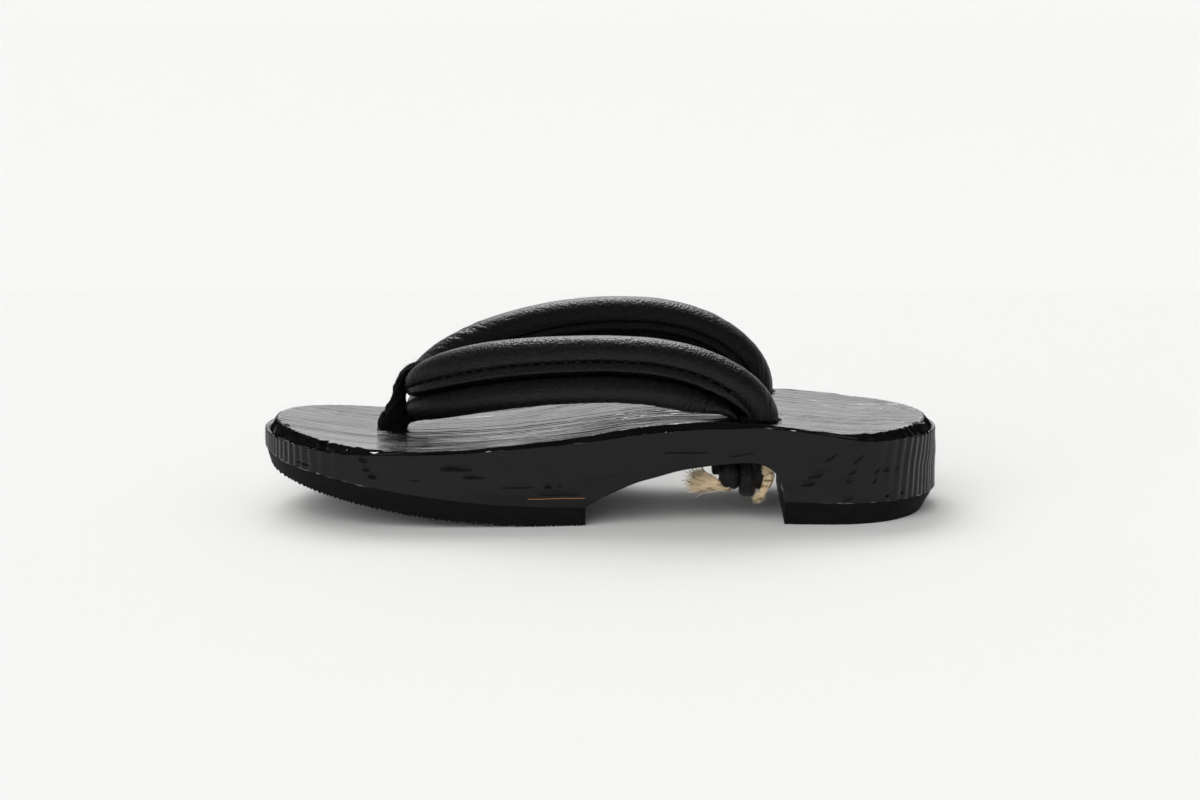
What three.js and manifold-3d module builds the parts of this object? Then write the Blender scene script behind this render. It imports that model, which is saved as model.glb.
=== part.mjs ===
// Geta sandal for the left foot: a carved wooden base lacquered black, two rubber treads, a padded
// leather strap (hanao) and a cloth toe thong (maetsubo), both knotted under the base.
// Millimetres. The toe points to -X, the outer side of the foot is at -Y and the floor is Z = 0.

import * as THREE from 'three';
import { mergeVertices } from 'three/addons/utils/BufferGeometryUtils.js';
import Module from 'manifold-3d';

const wasm = await Module();
wasm.setup();

const degrees = THREE.MathUtils.degToRad;

// Driving dimensions of the base

const LENGTH = 245;
const TOE_RADIUS = 44.5;
const HEEL_RADIUS = 38.5;
const TOE_CENTRE_X = TOE_RADIUS - LENGTH / 2;
const HEEL_CENTRE_X = LENGTH / 2 - HEEL_RADIUS;
const WIDTH = 89.2;
const GAP = 0.3;

// How finely the outline and the footbed are stepped
const OUTLINE_STEPS = { sides: 22, ends: 18 };
const FOOTBED_RINGS = [0.86, 0.68, 0.46, 0.23, 0];
const ARCH_STEPS = 36;
const JOIN_STEPS = 24;
const FRONT_TREAD_STEPS = 40;
const HEEL_TREAD_STEPS = 24;

// Bevel round the footbed: its foot, the crease halfway up and how far in that crease lies, as
// shares of the bevel's width
const BEVEL = { foot: 0.95, crease: 0.3, inset: 0.35 };

// Planes well clear of the object, which the blanks and the cutters run to
const BLANK_BOTTOM = -5;
const BELOW_ALL = -10;
const ABOVE_BASE = 50;

// Half widths of the plan outline, from the middle line to the outer and the inner side
const PLAN = [
  { x: -78, outer: 44.0, inner: 44.0 },
  { x: -60, outer: 44.6, inner: 44.6 },
  { x: -40, outer: 43.8, inner: 43.0 },
  { x: -20, outer: 42.0, inner: 40.0 },
  { x: 0, outer: 39.6, inner: 37.0 },
  { x: 20, outer: 37.6, inner: 35.2 },
  { x: 40, outer: 36.6, inner: 34.8 },
  { x: 60, outer: 37.2, inner: 36.2 },
  { x: 72, outer: 38.1, inner: 37.7 },
  { x: 84, outer: 38.5, inner: 38.5 },
];

// Height of the footbed at its outer edge, middle and inner edge, and the width of the bevel round it
const FOOTBED = [
  { x: -122.5, outer: 33.4, middle: 33.4, inner: 33.4, bevel: 3.2 },
  { x: -110, outer: 32.0, middle: 31.3, inner: 31.5, bevel: 3.2 },
  { x: -95, outer: 30.0, middle: 28.9, inner: 29.3, bevel: 2.6 },
  { x: -80, outer: 28.5, middle: 27.3, inner: 27.7, bevel: 1.6 },
  { x: -65, outer: 28.0, middle: 27.1, inner: 27.8, bevel: 1.2 },
  { x: -50, outer: 28.4, middle: 27.8, inner: 28.4, bevel: 1.2 },
  { x: -35, outer: 29.6, middle: 29.1, inner: 29.7, bevel: 1.2 },
  { x: -20, outer: 30.9, middle: 31.2, inner: 31.8, bevel: 1.4 },
  { x: -5, outer: 32.5, middle: 33.6, inner: 34.0, bevel: 1.9 },
  { x: 12, outer: 34.9, middle: 36.2, inner: 36.7, bevel: 2.3 },
  { x: 25, outer: 36.1, middle: 37.5, inner: 37.9, bevel: 2.3 },
  { x: 40, outer: 36.8, middle: 37.6, inner: 37.9, bevel: 2.2 },
  { x: 55, outer: 36.5, middle: 36.7, inner: 37.0, bevel: 1.6 },
  { x: 66, outer: 35.6, middle: 35.6, inner: 35.7, bevel: 1.4 },
  { x: 80, outer: 33.9, middle: 34.1, inner: 34.4, bevel: 1.8 },
  { x: 97, outer: 32.6, middle: 32.6, inner: 33.1, bevel: 2.8 },
  { x: 110, outer: 33.2, middle: 32.5, inner: 33.0, bevel: 3.2 },
  { x: 122.5, outer: 33.0, middle: 33.0, inner: 33.0, bevel: 3.2 },
];

// Forefoot: where the wood meets the tread, and the tread's own underside with its toe spring
const FOREFOOT = [
  { x: -126, join: 23.9, ground: 17.4 },
  { x: -120, join: 22.2, ground: 15.9 },
  { x: -112, join: 20.5, ground: 14.0 },
  { x: -100, join: 18.5, ground: 11.1 },
  { x: -84, join: 15.4, ground: 7.6 },
  { x: -68, join: 12.5, ground: 4.3 },
  { x: -52, join: 10.1, ground: 2.1 },
  { x: -36, join: 8.4, ground: 0.8 },
  { x: -22, join: 7.5, ground: 0.0 },
  { x: -5.4, join: 6.8, ground: 0.0 },
];

// Hollow arch in the wood between the forefoot and the heel block, seen from the side
const ARCH = [
  { x: -5.4, z: 6.8 },
  { x: 1.6, z: 10.7 },
  { x: 11.9, z: 15.1 },
  { x: 19.9, z: 17.4 },
  { x: 27.8, z: 19.5 },
  { x: 35.9, z: 20.8 },
  { x: 44, z: 21.8 },
  { x: 51.5, z: 22.4 },
  { x: 56.2, z: 22.2 },
  { x: 60.2, z: 20.8 },
  { x: 63, z: 18.4 },
  { x: 64.8, z: 15.0 },
  { x: 65.8, z: 11.4 },
  { x: 66.1, z: 8.4 },
];
const HEEL_FRONT_X = 66.1;
const HEEL_JOIN = 8.4;
const HEEL_JOIN_REAR = 7.5;
const HEEL_UNDERCUT = 4.6;
const TOE_UNDERCUT = 2.0;
const TREAD_TAPER = 0.02;
const TREAD_TIP = 0.5;

// Holes through the base: one between the toes, two beside the heel
const TOE_HOLE = { x: -76, y: 5, radius: 5.3 };
const TOE_RECESS = { ...TOE_HOLE, radius: 11, top: 17.6 };
const OUTER_HOLE = { x: 54.5, y: -27, radius: 6 };
const INNER_HOLE = { x: 54.5, y: 28, radius: 6 };
const HOLE_SIDES = 32;
const RECESS_SIDES = 40;

// Strap: one row a section, from the outer hole round the toe end of the V to the inner hole.
// x, y and z place its middle, face is the plan direction of its outer face, lean tips its upper roll
// towards the foot and tilt tips it towards the heel, in degrees. width runs from roll to roll, full
// scales its thickness and groove is the depth of the furrow between the rolls.
const STRAP = [
  { x: 53.4, y: -27.0, z: 32.6, face: 270, lean: 2, tilt: 90, width: 21.0, full: 0.86, groove: 4.0 },
  { x: 53.4, y: -27.2, z: 36.4, face: 270, lean: 4, tilt: 88, width: 22.0, full: 0.9, groove: 7.0 },
  { x: 52.0, y: -27.8, z: 39.8, face: 270, lean: 8, tilt: 79, width: 23.2, full: 0.95, groove: 6.0 },
  { x: 49.3, y: -28.5, z: 42.8, face: 270, lean: 12, tilt: 68, width: 24.2, full: 1, groove: 4.4 },
  { x: 44.8, y: -29.3, z: 46.2, face: 270, lean: 16, tilt: 54, width: 24.8, full: 1, groove: 3.4 },
  { x: 39.3, y: -29.9, z: 49.0, face: 270, lean: 20, tilt: 40, width: 25.0, full: 1, groove: 3 },
  { x: 33.0, y: -30.2, z: 51.4, face: 270, lean: 23, tilt: 26, width: 25.0, full: 1, groove: 3 },
  { x: 25.0, y: -30.2, z: 53.4, face: 269, lean: 25, tilt: 12, width: 25.2, full: 1, groove: 3 },
  { x: 15.0, y: -29.6, z: 54.8, face: 267, lean: 26, tilt: 3, width: 25.2, full: 1, groove: 3 },
  { x: 3.0, y: -28.4, z: 55.1, face: 264, lean: 27, tilt: 0, width: 25.2, full: 1, groove: 3 },
  { x: -12.0, y: -25.9, z: 54.3, face: 259, lean: 27, tilt: -3, width: 25.6, full: 1, groove: 3 },
  { x: -27.0, y: -22.5, z: 52.7, face: 253, lean: 26, tilt: -6, width: 26.2, full: 1, groove: 3 },
  { x: -41.0, y: -17.9, z: 50.2, face: 245, lean: 24, tilt: -8, width: 26.4, full: 0.98, groove: 3 },
  { x: -51.0, y: -13.2, z: 47.6, face: 236, lean: 20, tilt: -8, width: 25.8, full: 0.95, groove: 3 },
  { x: -59.5, y: -8.2, z: 44.9, face: 226, lean: 16, tilt: -5, width: 24.4, full: 0.9, groove: 3 },
  { x: -65.4, y: -2.2, z: 42.6, face: 207, lean: 9, tilt: -1, width: 20.6, full: 0.78, groove: 3 },
  { x: -66.4, y: 5.0, z: 40.2, face: 180, lean: 2, tilt: 0, width: 14.4, full: 0.5, groove: 2.4 },
  { x: -65.0, y: 11.8, z: 42.0, face: 152, lean: 9, tilt: -1, width: 19.6, full: 0.76, groove: 3 },
  { x: -59.5, y: 16.8, z: 45.0, face: 134, lean: 14, tilt: -6, width: 24.2, full: 0.9, groove: 3 },
  { x: -51.0, y: 20.2, z: 48.7, face: 124, lean: 16, tilt: -10, width: 25.4, full: 0.95, groove: 3 },
  { x: -41.0, y: 23.2, z: 52.5, face: 115, lean: 17, tilt: -10, width: 26.0, full: 0.98, groove: 3 },
  { x: -27.0, y: 26.2, z: 56.3, face: 107, lean: 18, tilt: -8, width: 26.0, full: 1, groove: 3 },
  { x: -12.0, y: 28.3, z: 58.9, face: 101, lean: 18, tilt: -4, width: 25.6, full: 1, groove: 3 },
  { x: 3.0, y: 29.4, z: 60.0, face: 96, lean: 18, tilt: 0, width: 25.4, full: 1, groove: 3 },
  { x: 15.0, y: 29.8, z: 59.7, face: 93, lean: 17, tilt: 4, width: 25.4, full: 1, groove: 3 },
  { x: 25.5, y: 29.8, z: 58.3, face: 91, lean: 16, tilt: 12, width: 25.2, full: 1, groove: 3 },
  { x: 34.5, y: 29.6, z: 55.7, face: 90, lean: 14, tilt: 25, width: 25.0, full: 1, groove: 3 },
  { x: 41.5, y: 29.2, z: 52.3, face: 90, lean: 12, tilt: 40, width: 24.8, full: 1, groove: 3.2 },
  { x: 47.0, y: 28.8, z: 48.2, face: 90, lean: 10, tilt: 55, width: 24.4, full: 1, groove: 3.8 },
  { x: 51.0, y: 28.4, z: 43.7, face: 90, lean: 8, tilt: 70, width: 23.6, full: 0.97, groove: 5.0 },
  { x: 53.2, y: 28.1, z: 38.6, face: 90, lean: 5, tilt: 84, width: 22.6, full: 0.92, groove: 6.6 },
  { x: 53.6, y: 28.0, z: 32.8, face: 90, lean: 2, tilt: 90, width: 21.0, full: 0.86, groove: 4.0 },
];
const STRAP_STEPS = 66;

// Strap section at its full size: u runs up from roll to roll, v out to the outer face
const STRAP_WIDTH = 25.5;
const UPPER_ROLL = { u: 5.95, v: 0, radius: 6.8, from: -98, to: 125, steps: 11 };
const LOWER_ROLL = { u: -7.9, v: 0.6, radius: 4.85, from: 50, to: 235, steps: 8 };

// Between the rolls on the outer face: the stitched lip over the groove and the groove's bed. open is
// how far a point moves along u once the groove has widened in full, and the bed lies groove below the lip.
const LIP = [
  { u: 0.3, v: 5.9, open: 1.2 },
  { u: -1.8, v: 5.7, open: 2.4 },
  { u: -2.5, v: 4.7, open: 2.4 },
];
const GROOVE_BED = [
  { u: -2.9, open: 1.4 },
  { u: -3.8, open: -2.2 },
];
const GROOVE = { top: 5.2, shut: 3, widening: 4, turn: 45 };

// Inner face, from the lower roll up: the lining, the turned-in hem and the furrow under the upper roll
const LINING = [
  { u: -7.0, v: -4.3 },
  { u: -3.0, v: -4.5 },
  { u: 0.9, v: -4.9 },
  { u: 1.4, v: -6.1 },
  { u: 2.5, v: -6.35 },
  { u: 3.8, v: -5.9 },
];
const TAIL = { radius: 5.6, top: 38.4, bottom: 22.2, sides: 20 };

// Toe thong: a strand from its stem up the front of the V, over it, down behind and back under it
const THONG = [
  { x: -76.4, z: 24.0, thick: 2.8, wide: 3.8 },
  { x: -76.3, z: 29.5, thick: 4.2, wide: 4.8 },
  { x: -75.7, z: 34.0, thick: 3.4, wide: 4.6 },
  { x: -74.0, z: 39.5, thick: 2.2, wide: 4.4 },
  { x: -72.9, z: 43.0, thick: 1.8, wide: 4.2 },
  { x: -71.4, z: 46.6, thick: 1.6, wide: 4.2 },
  { x: -69.0, z: 48.8, thick: 1.4, wide: 4.2 },
  { x: -66.2, z: 49.5, thick: 1.4, wide: 4.2 },
  { x: -63.4, z: 48.6, thick: 1.4, wide: 4.0 },
  { x: -61.4, z: 45.6, thick: 1.5, wide: 3.8 },
  { x: -60.8, z: 41.0, thick: 1.6, wide: 3.4 },
  { x: -61.4, z: 36.0, thick: 1.7, wide: 3.4 },
  { x: -63.4, z: 32.0, thick: 1.6, wide: 3.6 },
  { x: -67.2, z: 30.0, thick: 1.6, wide: 3.8 },
  { x: -71.4, z: 29.5, thick: 1.8, wide: 4.0 },
  { x: -75.0, z: 27.0, thick: 2.0, wide: 3.6 },
];
const THONG_STEPS = 30;
const THONG_SIDES = 10;
const THONG_STEM = { ...TOE_HOLE, radius: 4.9, bottom: 12, top: 30.5, sides: 20 };
const THONG_KNOT = { radius: 8.4, height: 7.2, z: 12.6 };

// Knots of the strap's tails: lobes of folded leather hanging under each hole
const KNOT_LOBES = [
  { x: -6.4, y: 0.5, top: 22.4, bottom: 10.2, rx: 4.2, ry: 6.4 },
  { x: -0.1, y: -0.8, top: 22.6, bottom: 7.8, rx: 3.5, ry: 7.0 },
  { x: 2.9, y: 1.2, top: 22.4, bottom: 8.6, rx: 3.6, ry: 6.4 },
];
const KNOT_COLLAR = { radius: 6.2, top: 21.9, bottom: 17.5, sides: 20 };

// Frayed cord ends beside each knot, measured from the hole: the cord's route and the locks at its end
const FRONT_CORD = {
  route: [
    { x: -9.8, y: -1.0, z: 12.0, radius: 1.8 },
    { x: -12.4, y: -1.2, z: 12.6, radius: 1.9 },
  ],
  fan: { heading: 180, rise: 13, spread: 32, length: 11.5, radius: 1.3, locks: 6 },
};
const REAR_CORD = {
  route: [
    { x: 6.9, y: -1.8, z: 17.8, radius: 0.9 },
    { x: 8.1, y: -2.0, z: 15.4, radius: 1.1 },
    { x: 7.7, y: -2.0, z: 12.4, radius: 1.2 },
    { x: 5.9, y: -2.0, z: 9.9, radius: 1.2 },
  ],
  fan: { heading: 180, rise: -36, spread: 40, length: 3.6, radius: 1.0, locks: 3 },
};
const CORD_SIDES = 6;

// How one lock of a frayed end differs from the next: rate sets the phase from lock to lock
const LOCK_TURN = { rate: 2.1, share: 0.6 };
const LOCK_REACH = { rate: 1.7, share: 0.15 };
const LOCK_CURL = { rate: 1.9, rise: 0.7 };
const LOCK_TIP = 0.4;
const LOCK_ROWS = [0, 0.35, 0.7, 1];

// Colours and finishes
const LACQUER = new THREE.MeshStandardMaterial({ color: 0x0d0d0e, roughness: 0.12, metalness: 0 });
const LEATHER = new THREE.MeshStandardMaterial({ color: 0x1b1b1c, roughness: 0.48, metalness: 0 });
const CLOTH = new THREE.MeshStandardMaterial({ color: 0x0b0b0c, roughness: 0.92, metalness: 0 });
const RUBBER = new THREE.MeshStandardMaterial({ color: 0x161617, roughness: 0.8, metalness: 0 });
const JUTE = new THREE.MeshStandardMaterial({ color: 0xc9ad80, roughness: 0.95, metalness: 0 });

// Smooth curve through a table's rows that never overshoots them (monotone cubic)
function curveThrough(rows, key, along = 'x') {
  const at = rows.map((row) => row[along]);
  const value = rows.map((row) => row[key]);
  const last = rows.length - 1;
  const rise = at.slice(1).map((next, i) => (value[i + 1] - value[i]) / (next - at[i]));
  const slope = value.map((_, i) => {
    if (i === 0) return rise[0];
    if (i === last) return rise[last - 1];
    if (rise[i - 1] * rise[i] <= 0) return 0;
    const before = at[i] - at[i - 1];
    const after = at[i + 1] - at[i];
    const left = 2 * after + before;
    const right = after + 2 * before;
    return (left + right) / (left / rise[i - 1] + right / rise[i]);
  });
  return (x) => {
    const inside = THREE.MathUtils.clamp(x, at[0], at[last]);
    let i = 0;
    while (i < last - 1 && inside > at[i + 1]) i += 1;
    const step = at[i + 1] - at[i];
    const t = (inside - at[i]) / step;
    const start = value[i] * (1 + 2 * t) * (1 - t) ** 2 + slope[i] * step * t * (1 - t) ** 2;
    return start + value[i + 1] * t * t * (3 - 2 * t) + slope[i + 1] * step * t * t * (t - 1);
  };
}

// Solids

function manifoldFrom(geometry) {
  const bare = geometry.index ? geometry : mergeVertices(geometry);
  const plain = new THREE.BufferGeometry();
  plain.setAttribute('position', bare.getAttribute('position').clone());
  plain.setIndex(bare.index.clone());
  const merged = mergeVertices(plain, 1e-4);
  const index = merged.index.array;
  const faces = [];
  for (let i = 0; i < index.length; i += 3) {
    const [a, b, c] = [index[i], index[i + 1], index[i + 2]];
    if (a !== b && b !== c && c !== a) faces.push(a, b, c);
  }
  const mesh = new wasm.Mesh({
    numProp: 3,
    vertProperties: new Float32Array(merged.getAttribute('position').array),
    triVerts: new Uint32Array(faces),
  });
  return new wasm.Manifold(mesh);
}

function geometryFrom(solid) {
  const mesh = solid.getMesh();
  const geometry = new THREE.BufferGeometry();
  geometry.setAttribute('position', new THREE.BufferAttribute(new Float32Array(mesh.vertProperties), 3));
  geometry.setIndex(new THREE.BufferAttribute(new Uint32Array(mesh.triVerts), 1));
  geometry.computeVertexNormals();
  return geometry;
}

function named(name, solid, material) {
  const mesh = new THREE.Mesh(geometryFrom(solid), material);
  mesh.name = name;
  return mesh;
}

// Closed solid over a row of rings with equal counts, its two ends closed by fans
function loft(rings) {
  const count = rings[0].length;
  const points = rings.flat();
  const faces = [];
  for (let r = 0; r < rings.length - 1; r += 1) {
    for (let i = 0; i < count; i += 1) {
      const a = r * count + i;
      const b = r * count + ((i + 1) % count);
      faces.push(a, b, a + count, b, b + count, a + count);
    }
  }
  const middle = (ring) => ring.reduce((sum, p) => sum.add(p), new THREE.Vector3()).divideScalar(count);
  const first = points.push(middle(rings[0])) - 1;
  const final = points.push(middle(rings[rings.length - 1])) - 1;
  const top = (rings.length - 1) * count;
  for (let i = 0; i < count; i += 1) {
    const j = (i + 1) % count;
    faces.push(first, j, i, final, top + i, top + j);
  }
  const geometry = new THREE.BufferGeometry().setFromPoints(points);
  geometry.setIndex(faces);
  return manifoldFrom(geometry);
}

function postAt({ x, y, radius }, bottom, top, sides) {
  const post = new THREE.CylinderGeometry(radius, radius, top - bottom, sides);
  post.rotateX(Math.PI / 2);
  post.translate(x, y, (top + bottom) / 2);
  return manifoldFrom(post);
}

// Base

const outerHalf = curveThrough(PLAN, 'outer');
const innerHalf = curveThrough(PLAN, 'inner');
const bevelWidth = curveThrough(FOOTBED, 'bevel');
const outerTop = curveThrough(FOOTBED, 'outer');
const middleTop = curveThrough(FOOTBED, 'middle');
const innerTop = curveThrough(FOOTBED, 'inner');
const forefootJoin = curveThrough(FOREFOOT, 'join');
const forefootGround = curveThrough(FOREFOOT, 'ground');

// Half width at any x, side -1 for the outer side and 1 for the inner one
function halfWidth(x, side) {
  if (x < TOE_CENTRE_X) {
    const along = Math.min(1, (TOE_CENTRE_X - x) / TOE_RADIUS);
    return PLAN[0].outer * Math.sqrt(1 - along ** 2);
  }
  if (x > HEEL_CENTRE_X) {
    const along = Math.min(1, (x - HEEL_CENTRE_X) / HEEL_RADIUS);
    return HEEL_RADIUS * Math.sqrt(1 - along ** 2);
  }
  return side < 0 ? outerHalf(x) : innerHalf(x);
}

function footbedHeight(x, y) {
  const edge = y < 0 ? outerTop(x) : innerTop(x);
  const across = Math.min(1, Math.abs(y) / Math.max(halfWidth(x, Math.sign(y)), 1));
  return middleTop(x) + (edge - middleTop(x)) * across ** 2;
}

// Outline of the base, anticlockwise from above, each point with the place on the middle line that
// the footbed's rows run to
function outline() {
  const points = [];
  const { sides: rows, ends: turns } = OUTLINE_STEPS;
  const straight = HEEL_CENTRE_X - TOE_CENTRE_X;
  for (let i = 0; i <= rows; i += 1) {
    const x = TOE_CENTRE_X + (straight * i) / rows;
    points.push({ x, y: -outerHalf(x), spine: x });
  }
  for (let i = 1; i < turns; i += 1) {
    const angle = Math.PI * (i / turns - 0.5);
    const x = HEEL_CENTRE_X + HEEL_RADIUS * Math.cos(angle);
    points.push({ x, y: HEEL_RADIUS * Math.sin(angle), spine: HEEL_CENTRE_X });
  }
  for (let i = rows; i >= 0; i -= 1) {
    const x = TOE_CENTRE_X + (straight * i) / rows;
    points.push({ x, y: innerHalf(x), spine: x });
  }
  for (let i = 1; i < turns; i += 1) {
    const angle = Math.PI * (i / turns + 0.5);
    const x = TOE_CENTRE_X + TOE_RADIUS * Math.cos(angle);
    points.push({ x, y: PLAN[0].outer * Math.sin(angle), spine: TOE_CENTRE_X });
  }
  return points;
}

function ringAt(edge, share, inset, height) {
  return edge.map((p) => {
    const reach = Math.hypot(p.x - p.spine, p.y);
    const scale = share * (1 - inset(p) / reach);
    const x = p.spine + (p.x - p.spine) * scale;
    const y = p.y * scale;
    return new THREE.Vector3(x, y, height(x, y, p));
  });
}

// Uncut block: footbed on top, bevel round its edge, straight sides and a flat bottom
function baseBlank(lift = 0) {
  const edge = outline();
  const bevel = (p) => bevelWidth(p.x);
  const none = () => 0;
  const surface = (x, y) => footbedHeight(x, y) + lift;
  const below = (share) => (x, y, p) => surface(x, y) - share * bevel(p);
  const rings = [ringAt(edge, 0, none, () => BLANK_BOTTOM)];
  rings.push(ringAt(edge, 1, none, () => BLANK_BOTTOM));
  rings.push(ringAt(edge, 1, none, below(BEVEL.foot)));
  rings.push(ringAt(edge, 1, (p) => BEVEL.inset * bevel(p), below(BEVEL.crease)));
  rings.push(ringAt(edge, 1, bevel, surface));
  for (const share of FOOTBED_RINGS) {
    rings.push(ringAt(edge, share, bevel, surface));
  }
  return loft(rings);
}

// Everything below the wood's underside, as one block cut away from it
function undersideCutter(lower = 0) {
  const shape = new THREE.Shape();
  const reach = -FOREFOOT[0].x;
  shape.moveTo(-reach, BELOW_ALL);
  shape.lineTo(reach, BELOW_ALL);
  shape.lineTo(reach, HEEL_JOIN_REAR);
  shape.lineTo(HEEL_FRONT_X, HEEL_JOIN);
  const arch = new THREE.CatmullRomCurve3(ARCH.map((row) => new THREE.Vector3(row.x, row.z, 0)));
  for (const p of arch.getPoints(ARCH_STEPS).reverse().slice(1)) shape.lineTo(p.x, p.y);
  for (let i = 1; i <= JOIN_STEPS; i += 1) {
    const x = ARCH[0].x + ((-reach - ARCH[0].x) * i) / JOIN_STEPS;
    shape.lineTo(x, forefootJoin(x));
  }
  const cutter = new THREE.ExtrudeGeometry(shape, { depth: WIDTH + 30, bevelEnabled: false });
  cutter.rotateX(Math.PI / 2);
  cutter.translate(0, WIDTH / 2 + 15, -lower);
  return manifoldFrom(cutter);
}

function woodBase() {
  return baseBlank()
    .subtract(undersideCutter())
    .subtract(postAt(TOE_HOLE, BELOW_ALL, ABOVE_BASE, HOLE_SIDES))
    .subtract(postAt(TOE_RECESS, BELOW_ALL, TOE_RECESS.top, RECESS_SIDES))
    .subtract(postAt(OUTER_HOLE, BELOW_ALL, ABOVE_BASE, HOLE_SIDES))
    .subtract(postAt(INNER_HOLE, BELOW_ALL, ABOVE_BASE, HOLE_SIDES));
}

// Treads

// Slab between two heights that change along the length only, its underside drawn in by undercut
function treadSlab(stations, top, bottom, undercut) {
  const rings = [];
  for (const x of stations) {
    const outer = Math.max(halfWidth(x, -1), TREAD_TIP);
    const inner = Math.max(halfWidth(x, 1), TREAD_TIP);
    const pull = undercut(x);
    const shift = pull.along;
    const side = 1 - pull.across;
    rings.push([
      new THREE.Vector3(x, -outer, top(x)),
      new THREE.Vector3(x + shift, -outer * side, bottom(x + shift)),
      new THREE.Vector3(x + shift, inner * side, bottom(x + shift)),
      new THREE.Vector3(x, inner, top(x)),
    ]);
  }
  return loft(rings);
}

// Stations from a round end to a square one, closer together where the outline turns
function stationsFrom(tip, square, count) {
  const places = [];
  for (let i = 0; i <= count; i += 1) {
    places.push(tip + (square - tip) * (1 - Math.cos((Math.PI / 2) * (i / count))));
  }
  return places;
}

function frontTread() {
  const stations = stationsFrom(-LENGTH / 2, ARCH[0].x, FRONT_TREAD_STEPS);
  const undercut = (x) => {
    const near = THREE.MathUtils.clamp((TOE_CENTRE_X - x) / TOE_RADIUS, 0, 1);
    return { along: TOE_UNDERCUT * near ** 2, across: TREAD_TAPER };
  };
  const slab = treadSlab(stations, (x) => forefootJoin(x) - GAP, forefootGround, undercut);
  return slab.subtract(postAt(TOE_RECESS, BELOW_ALL, ABOVE_BASE, RECESS_SIDES));
}

function heelTread() {
  const join = (x) => {
    const along = (x - HEEL_FRONT_X) / (LENGTH / 2 - HEEL_FRONT_X);
    return HEEL_JOIN + (HEEL_JOIN_REAR - HEEL_JOIN) * along - GAP;
  };
  const stations = stationsFrom(LENGTH / 2, HEEL_FRONT_X, HEEL_TREAD_STEPS).reverse();
  const undercut = (x) => {
    const near = THREE.MathUtils.clamp((x - HEEL_CENTRE_X) / HEEL_RADIUS, 0, 1);
    return { along: -HEEL_UNDERCUT * near ** 2, across: TREAD_TAPER };
  };
  return treadSlab(stations, join, () => 0, undercut);
}

// Strap

function rollArc({ u, v, radius, from, to, steps }) {
  const points = [];
  for (let i = 0; i <= steps; i += 1) {
    const angle = degrees(from + ((to - from) * i) / steps);
    points.push([u + radius * Math.cos(angle), v + radius * Math.sin(angle)]);
  }
  return points;
}

// Section of the strap: upper roll, stitched lip, groove, lower roll, lining and turned-in hem
function strapSection(groove) {
  const opening = THREE.MathUtils.clamp((groove - GROOVE.shut) / GROOVE.widening, 0, 1);
  return [
    ...rollArc(UPPER_ROLL),
    ...LIP.map(({ u, v, open }) => [u + open * opening, v]),
    ...GROOVE_BED.map(({ u, open }) => [u + open * opening, GROOVE.top - groove]),
    ...rollArc({ ...LOWER_ROLL, from: LOWER_ROLL.from + GROOVE.turn * opening }),
    ...LINING.map(({ u, v }) => [u, v]),
  ];
}

function strapBand() {
  const rows = STRAP.map((row, order) => ({ ...row, order }));
  const columns = ['x', 'y', 'z', 'face', 'lean', 'tilt', 'width', 'full', 'groove'];
  const at = Object.fromEntries(columns.map((key) => [key, curveThrough(rows, key, 'order')]));
  const rings = [];
  for (let i = 0; i <= STRAP_STEPS; i += 1) {
    const s = ((rows.length - 1) * i) / STRAP_STEPS;
    const face = degrees(at.face(s));
    const lean = degrees(at.lean(s));
    const tilt = degrees(at.tilt(s));
    const side = at.face(s) > 180 ? 1 : -1;
    const out = new THREE.Vector3(Math.cos(face), Math.sin(face), 0);
    const back = new THREE.Vector3(-out.y * side, out.x * side, 0);
    const up = new THREE.Vector3(0, 0, Math.cos(tilt)).addScaledVector(back, Math.sin(tilt));
    const u = up.clone().multiplyScalar(Math.cos(lean)).addScaledVector(out, -Math.sin(lean));
    const v = out.clone().multiplyScalar(Math.cos(lean)).addScaledVector(up, Math.sin(lean));
    const middle = new THREE.Vector3(at.x(s), at.y(s), at.z(s));
    const across = at.width(s) / STRAP_WIDTH;
    const full = at.full(s);
    const ring = strapSection(at.groove(s)).map(([a, b]) => (
      middle.clone().addScaledVector(u, a * across).addScaledVector(v, b * full)
    ));
    rings.push(ring.reverse());
  }
  return loft(rings);
}

function strap() {
  const tail = (hole) => postAt({ ...hole, radius: TAIL.radius }, TAIL.bottom, TAIL.top, TAIL.sides);
  return strapBand()
    .subtract(baseBlank(GAP))
    .subtract(thongLoop(GAP))
    .add(tail(OUTER_HOLE))
    .add(tail(INNER_HOLE));
}

// Toe thong

function thongLoop(swell = 0) {
  const path = new THREE.CatmullRomCurve3(THONG.map((row) => new THREE.Vector3(row.x, TOE_HOLE.y, row.z)));
  const rows = THONG.map((row, i) => ({ ...row, t: i / (THONG.length - 1) }));
  const thick = curveThrough(rows, 'thick', 't');
  const wide = curveThrough(rows, 'wide', 't');
  const rings = [];
  for (let i = 0; i <= THONG_STEPS; i += 1) {
    const t = i / THONG_STEPS;
    const middle = path.getPoint(t);
    const tangent = path.getTangent(t);
    const normal = new THREE.Vector3(-tangent.z, 0, tangent.x);
    const ring = [];
    for (let k = 0; k < THONG_SIDES; k += 1) {
      const angle = (2 * Math.PI * k) / THONG_SIDES;
      const point = middle.clone().addScaledVector(normal, (thick(t) + swell) * Math.cos(angle));
      point.y -= (wide(t) + swell) * Math.sin(angle);
      ring.push(point);
    }
    rings.push(ring);
  }
  return loft(rings);
}

function toeThong() {
  const knot = new THREE.SphereGeometry(THONG_KNOT.radius, 20, 10);
  knot.rotateX(Math.PI / 2);
  knot.scale(1, 1, THONG_KNOT.height / 2 / THONG_KNOT.radius);
  knot.translate(TOE_HOLE.x, TOE_HOLE.y, THONG_KNOT.z);
  const stem = postAt(THONG_STEM, THONG_STEM.bottom, THONG_STEM.top, THONG_STEM.sides);
  return stem.add(manifoldFrom(knot)).add(thongLoop());
}

// Knots and frayed ends under the base

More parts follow.
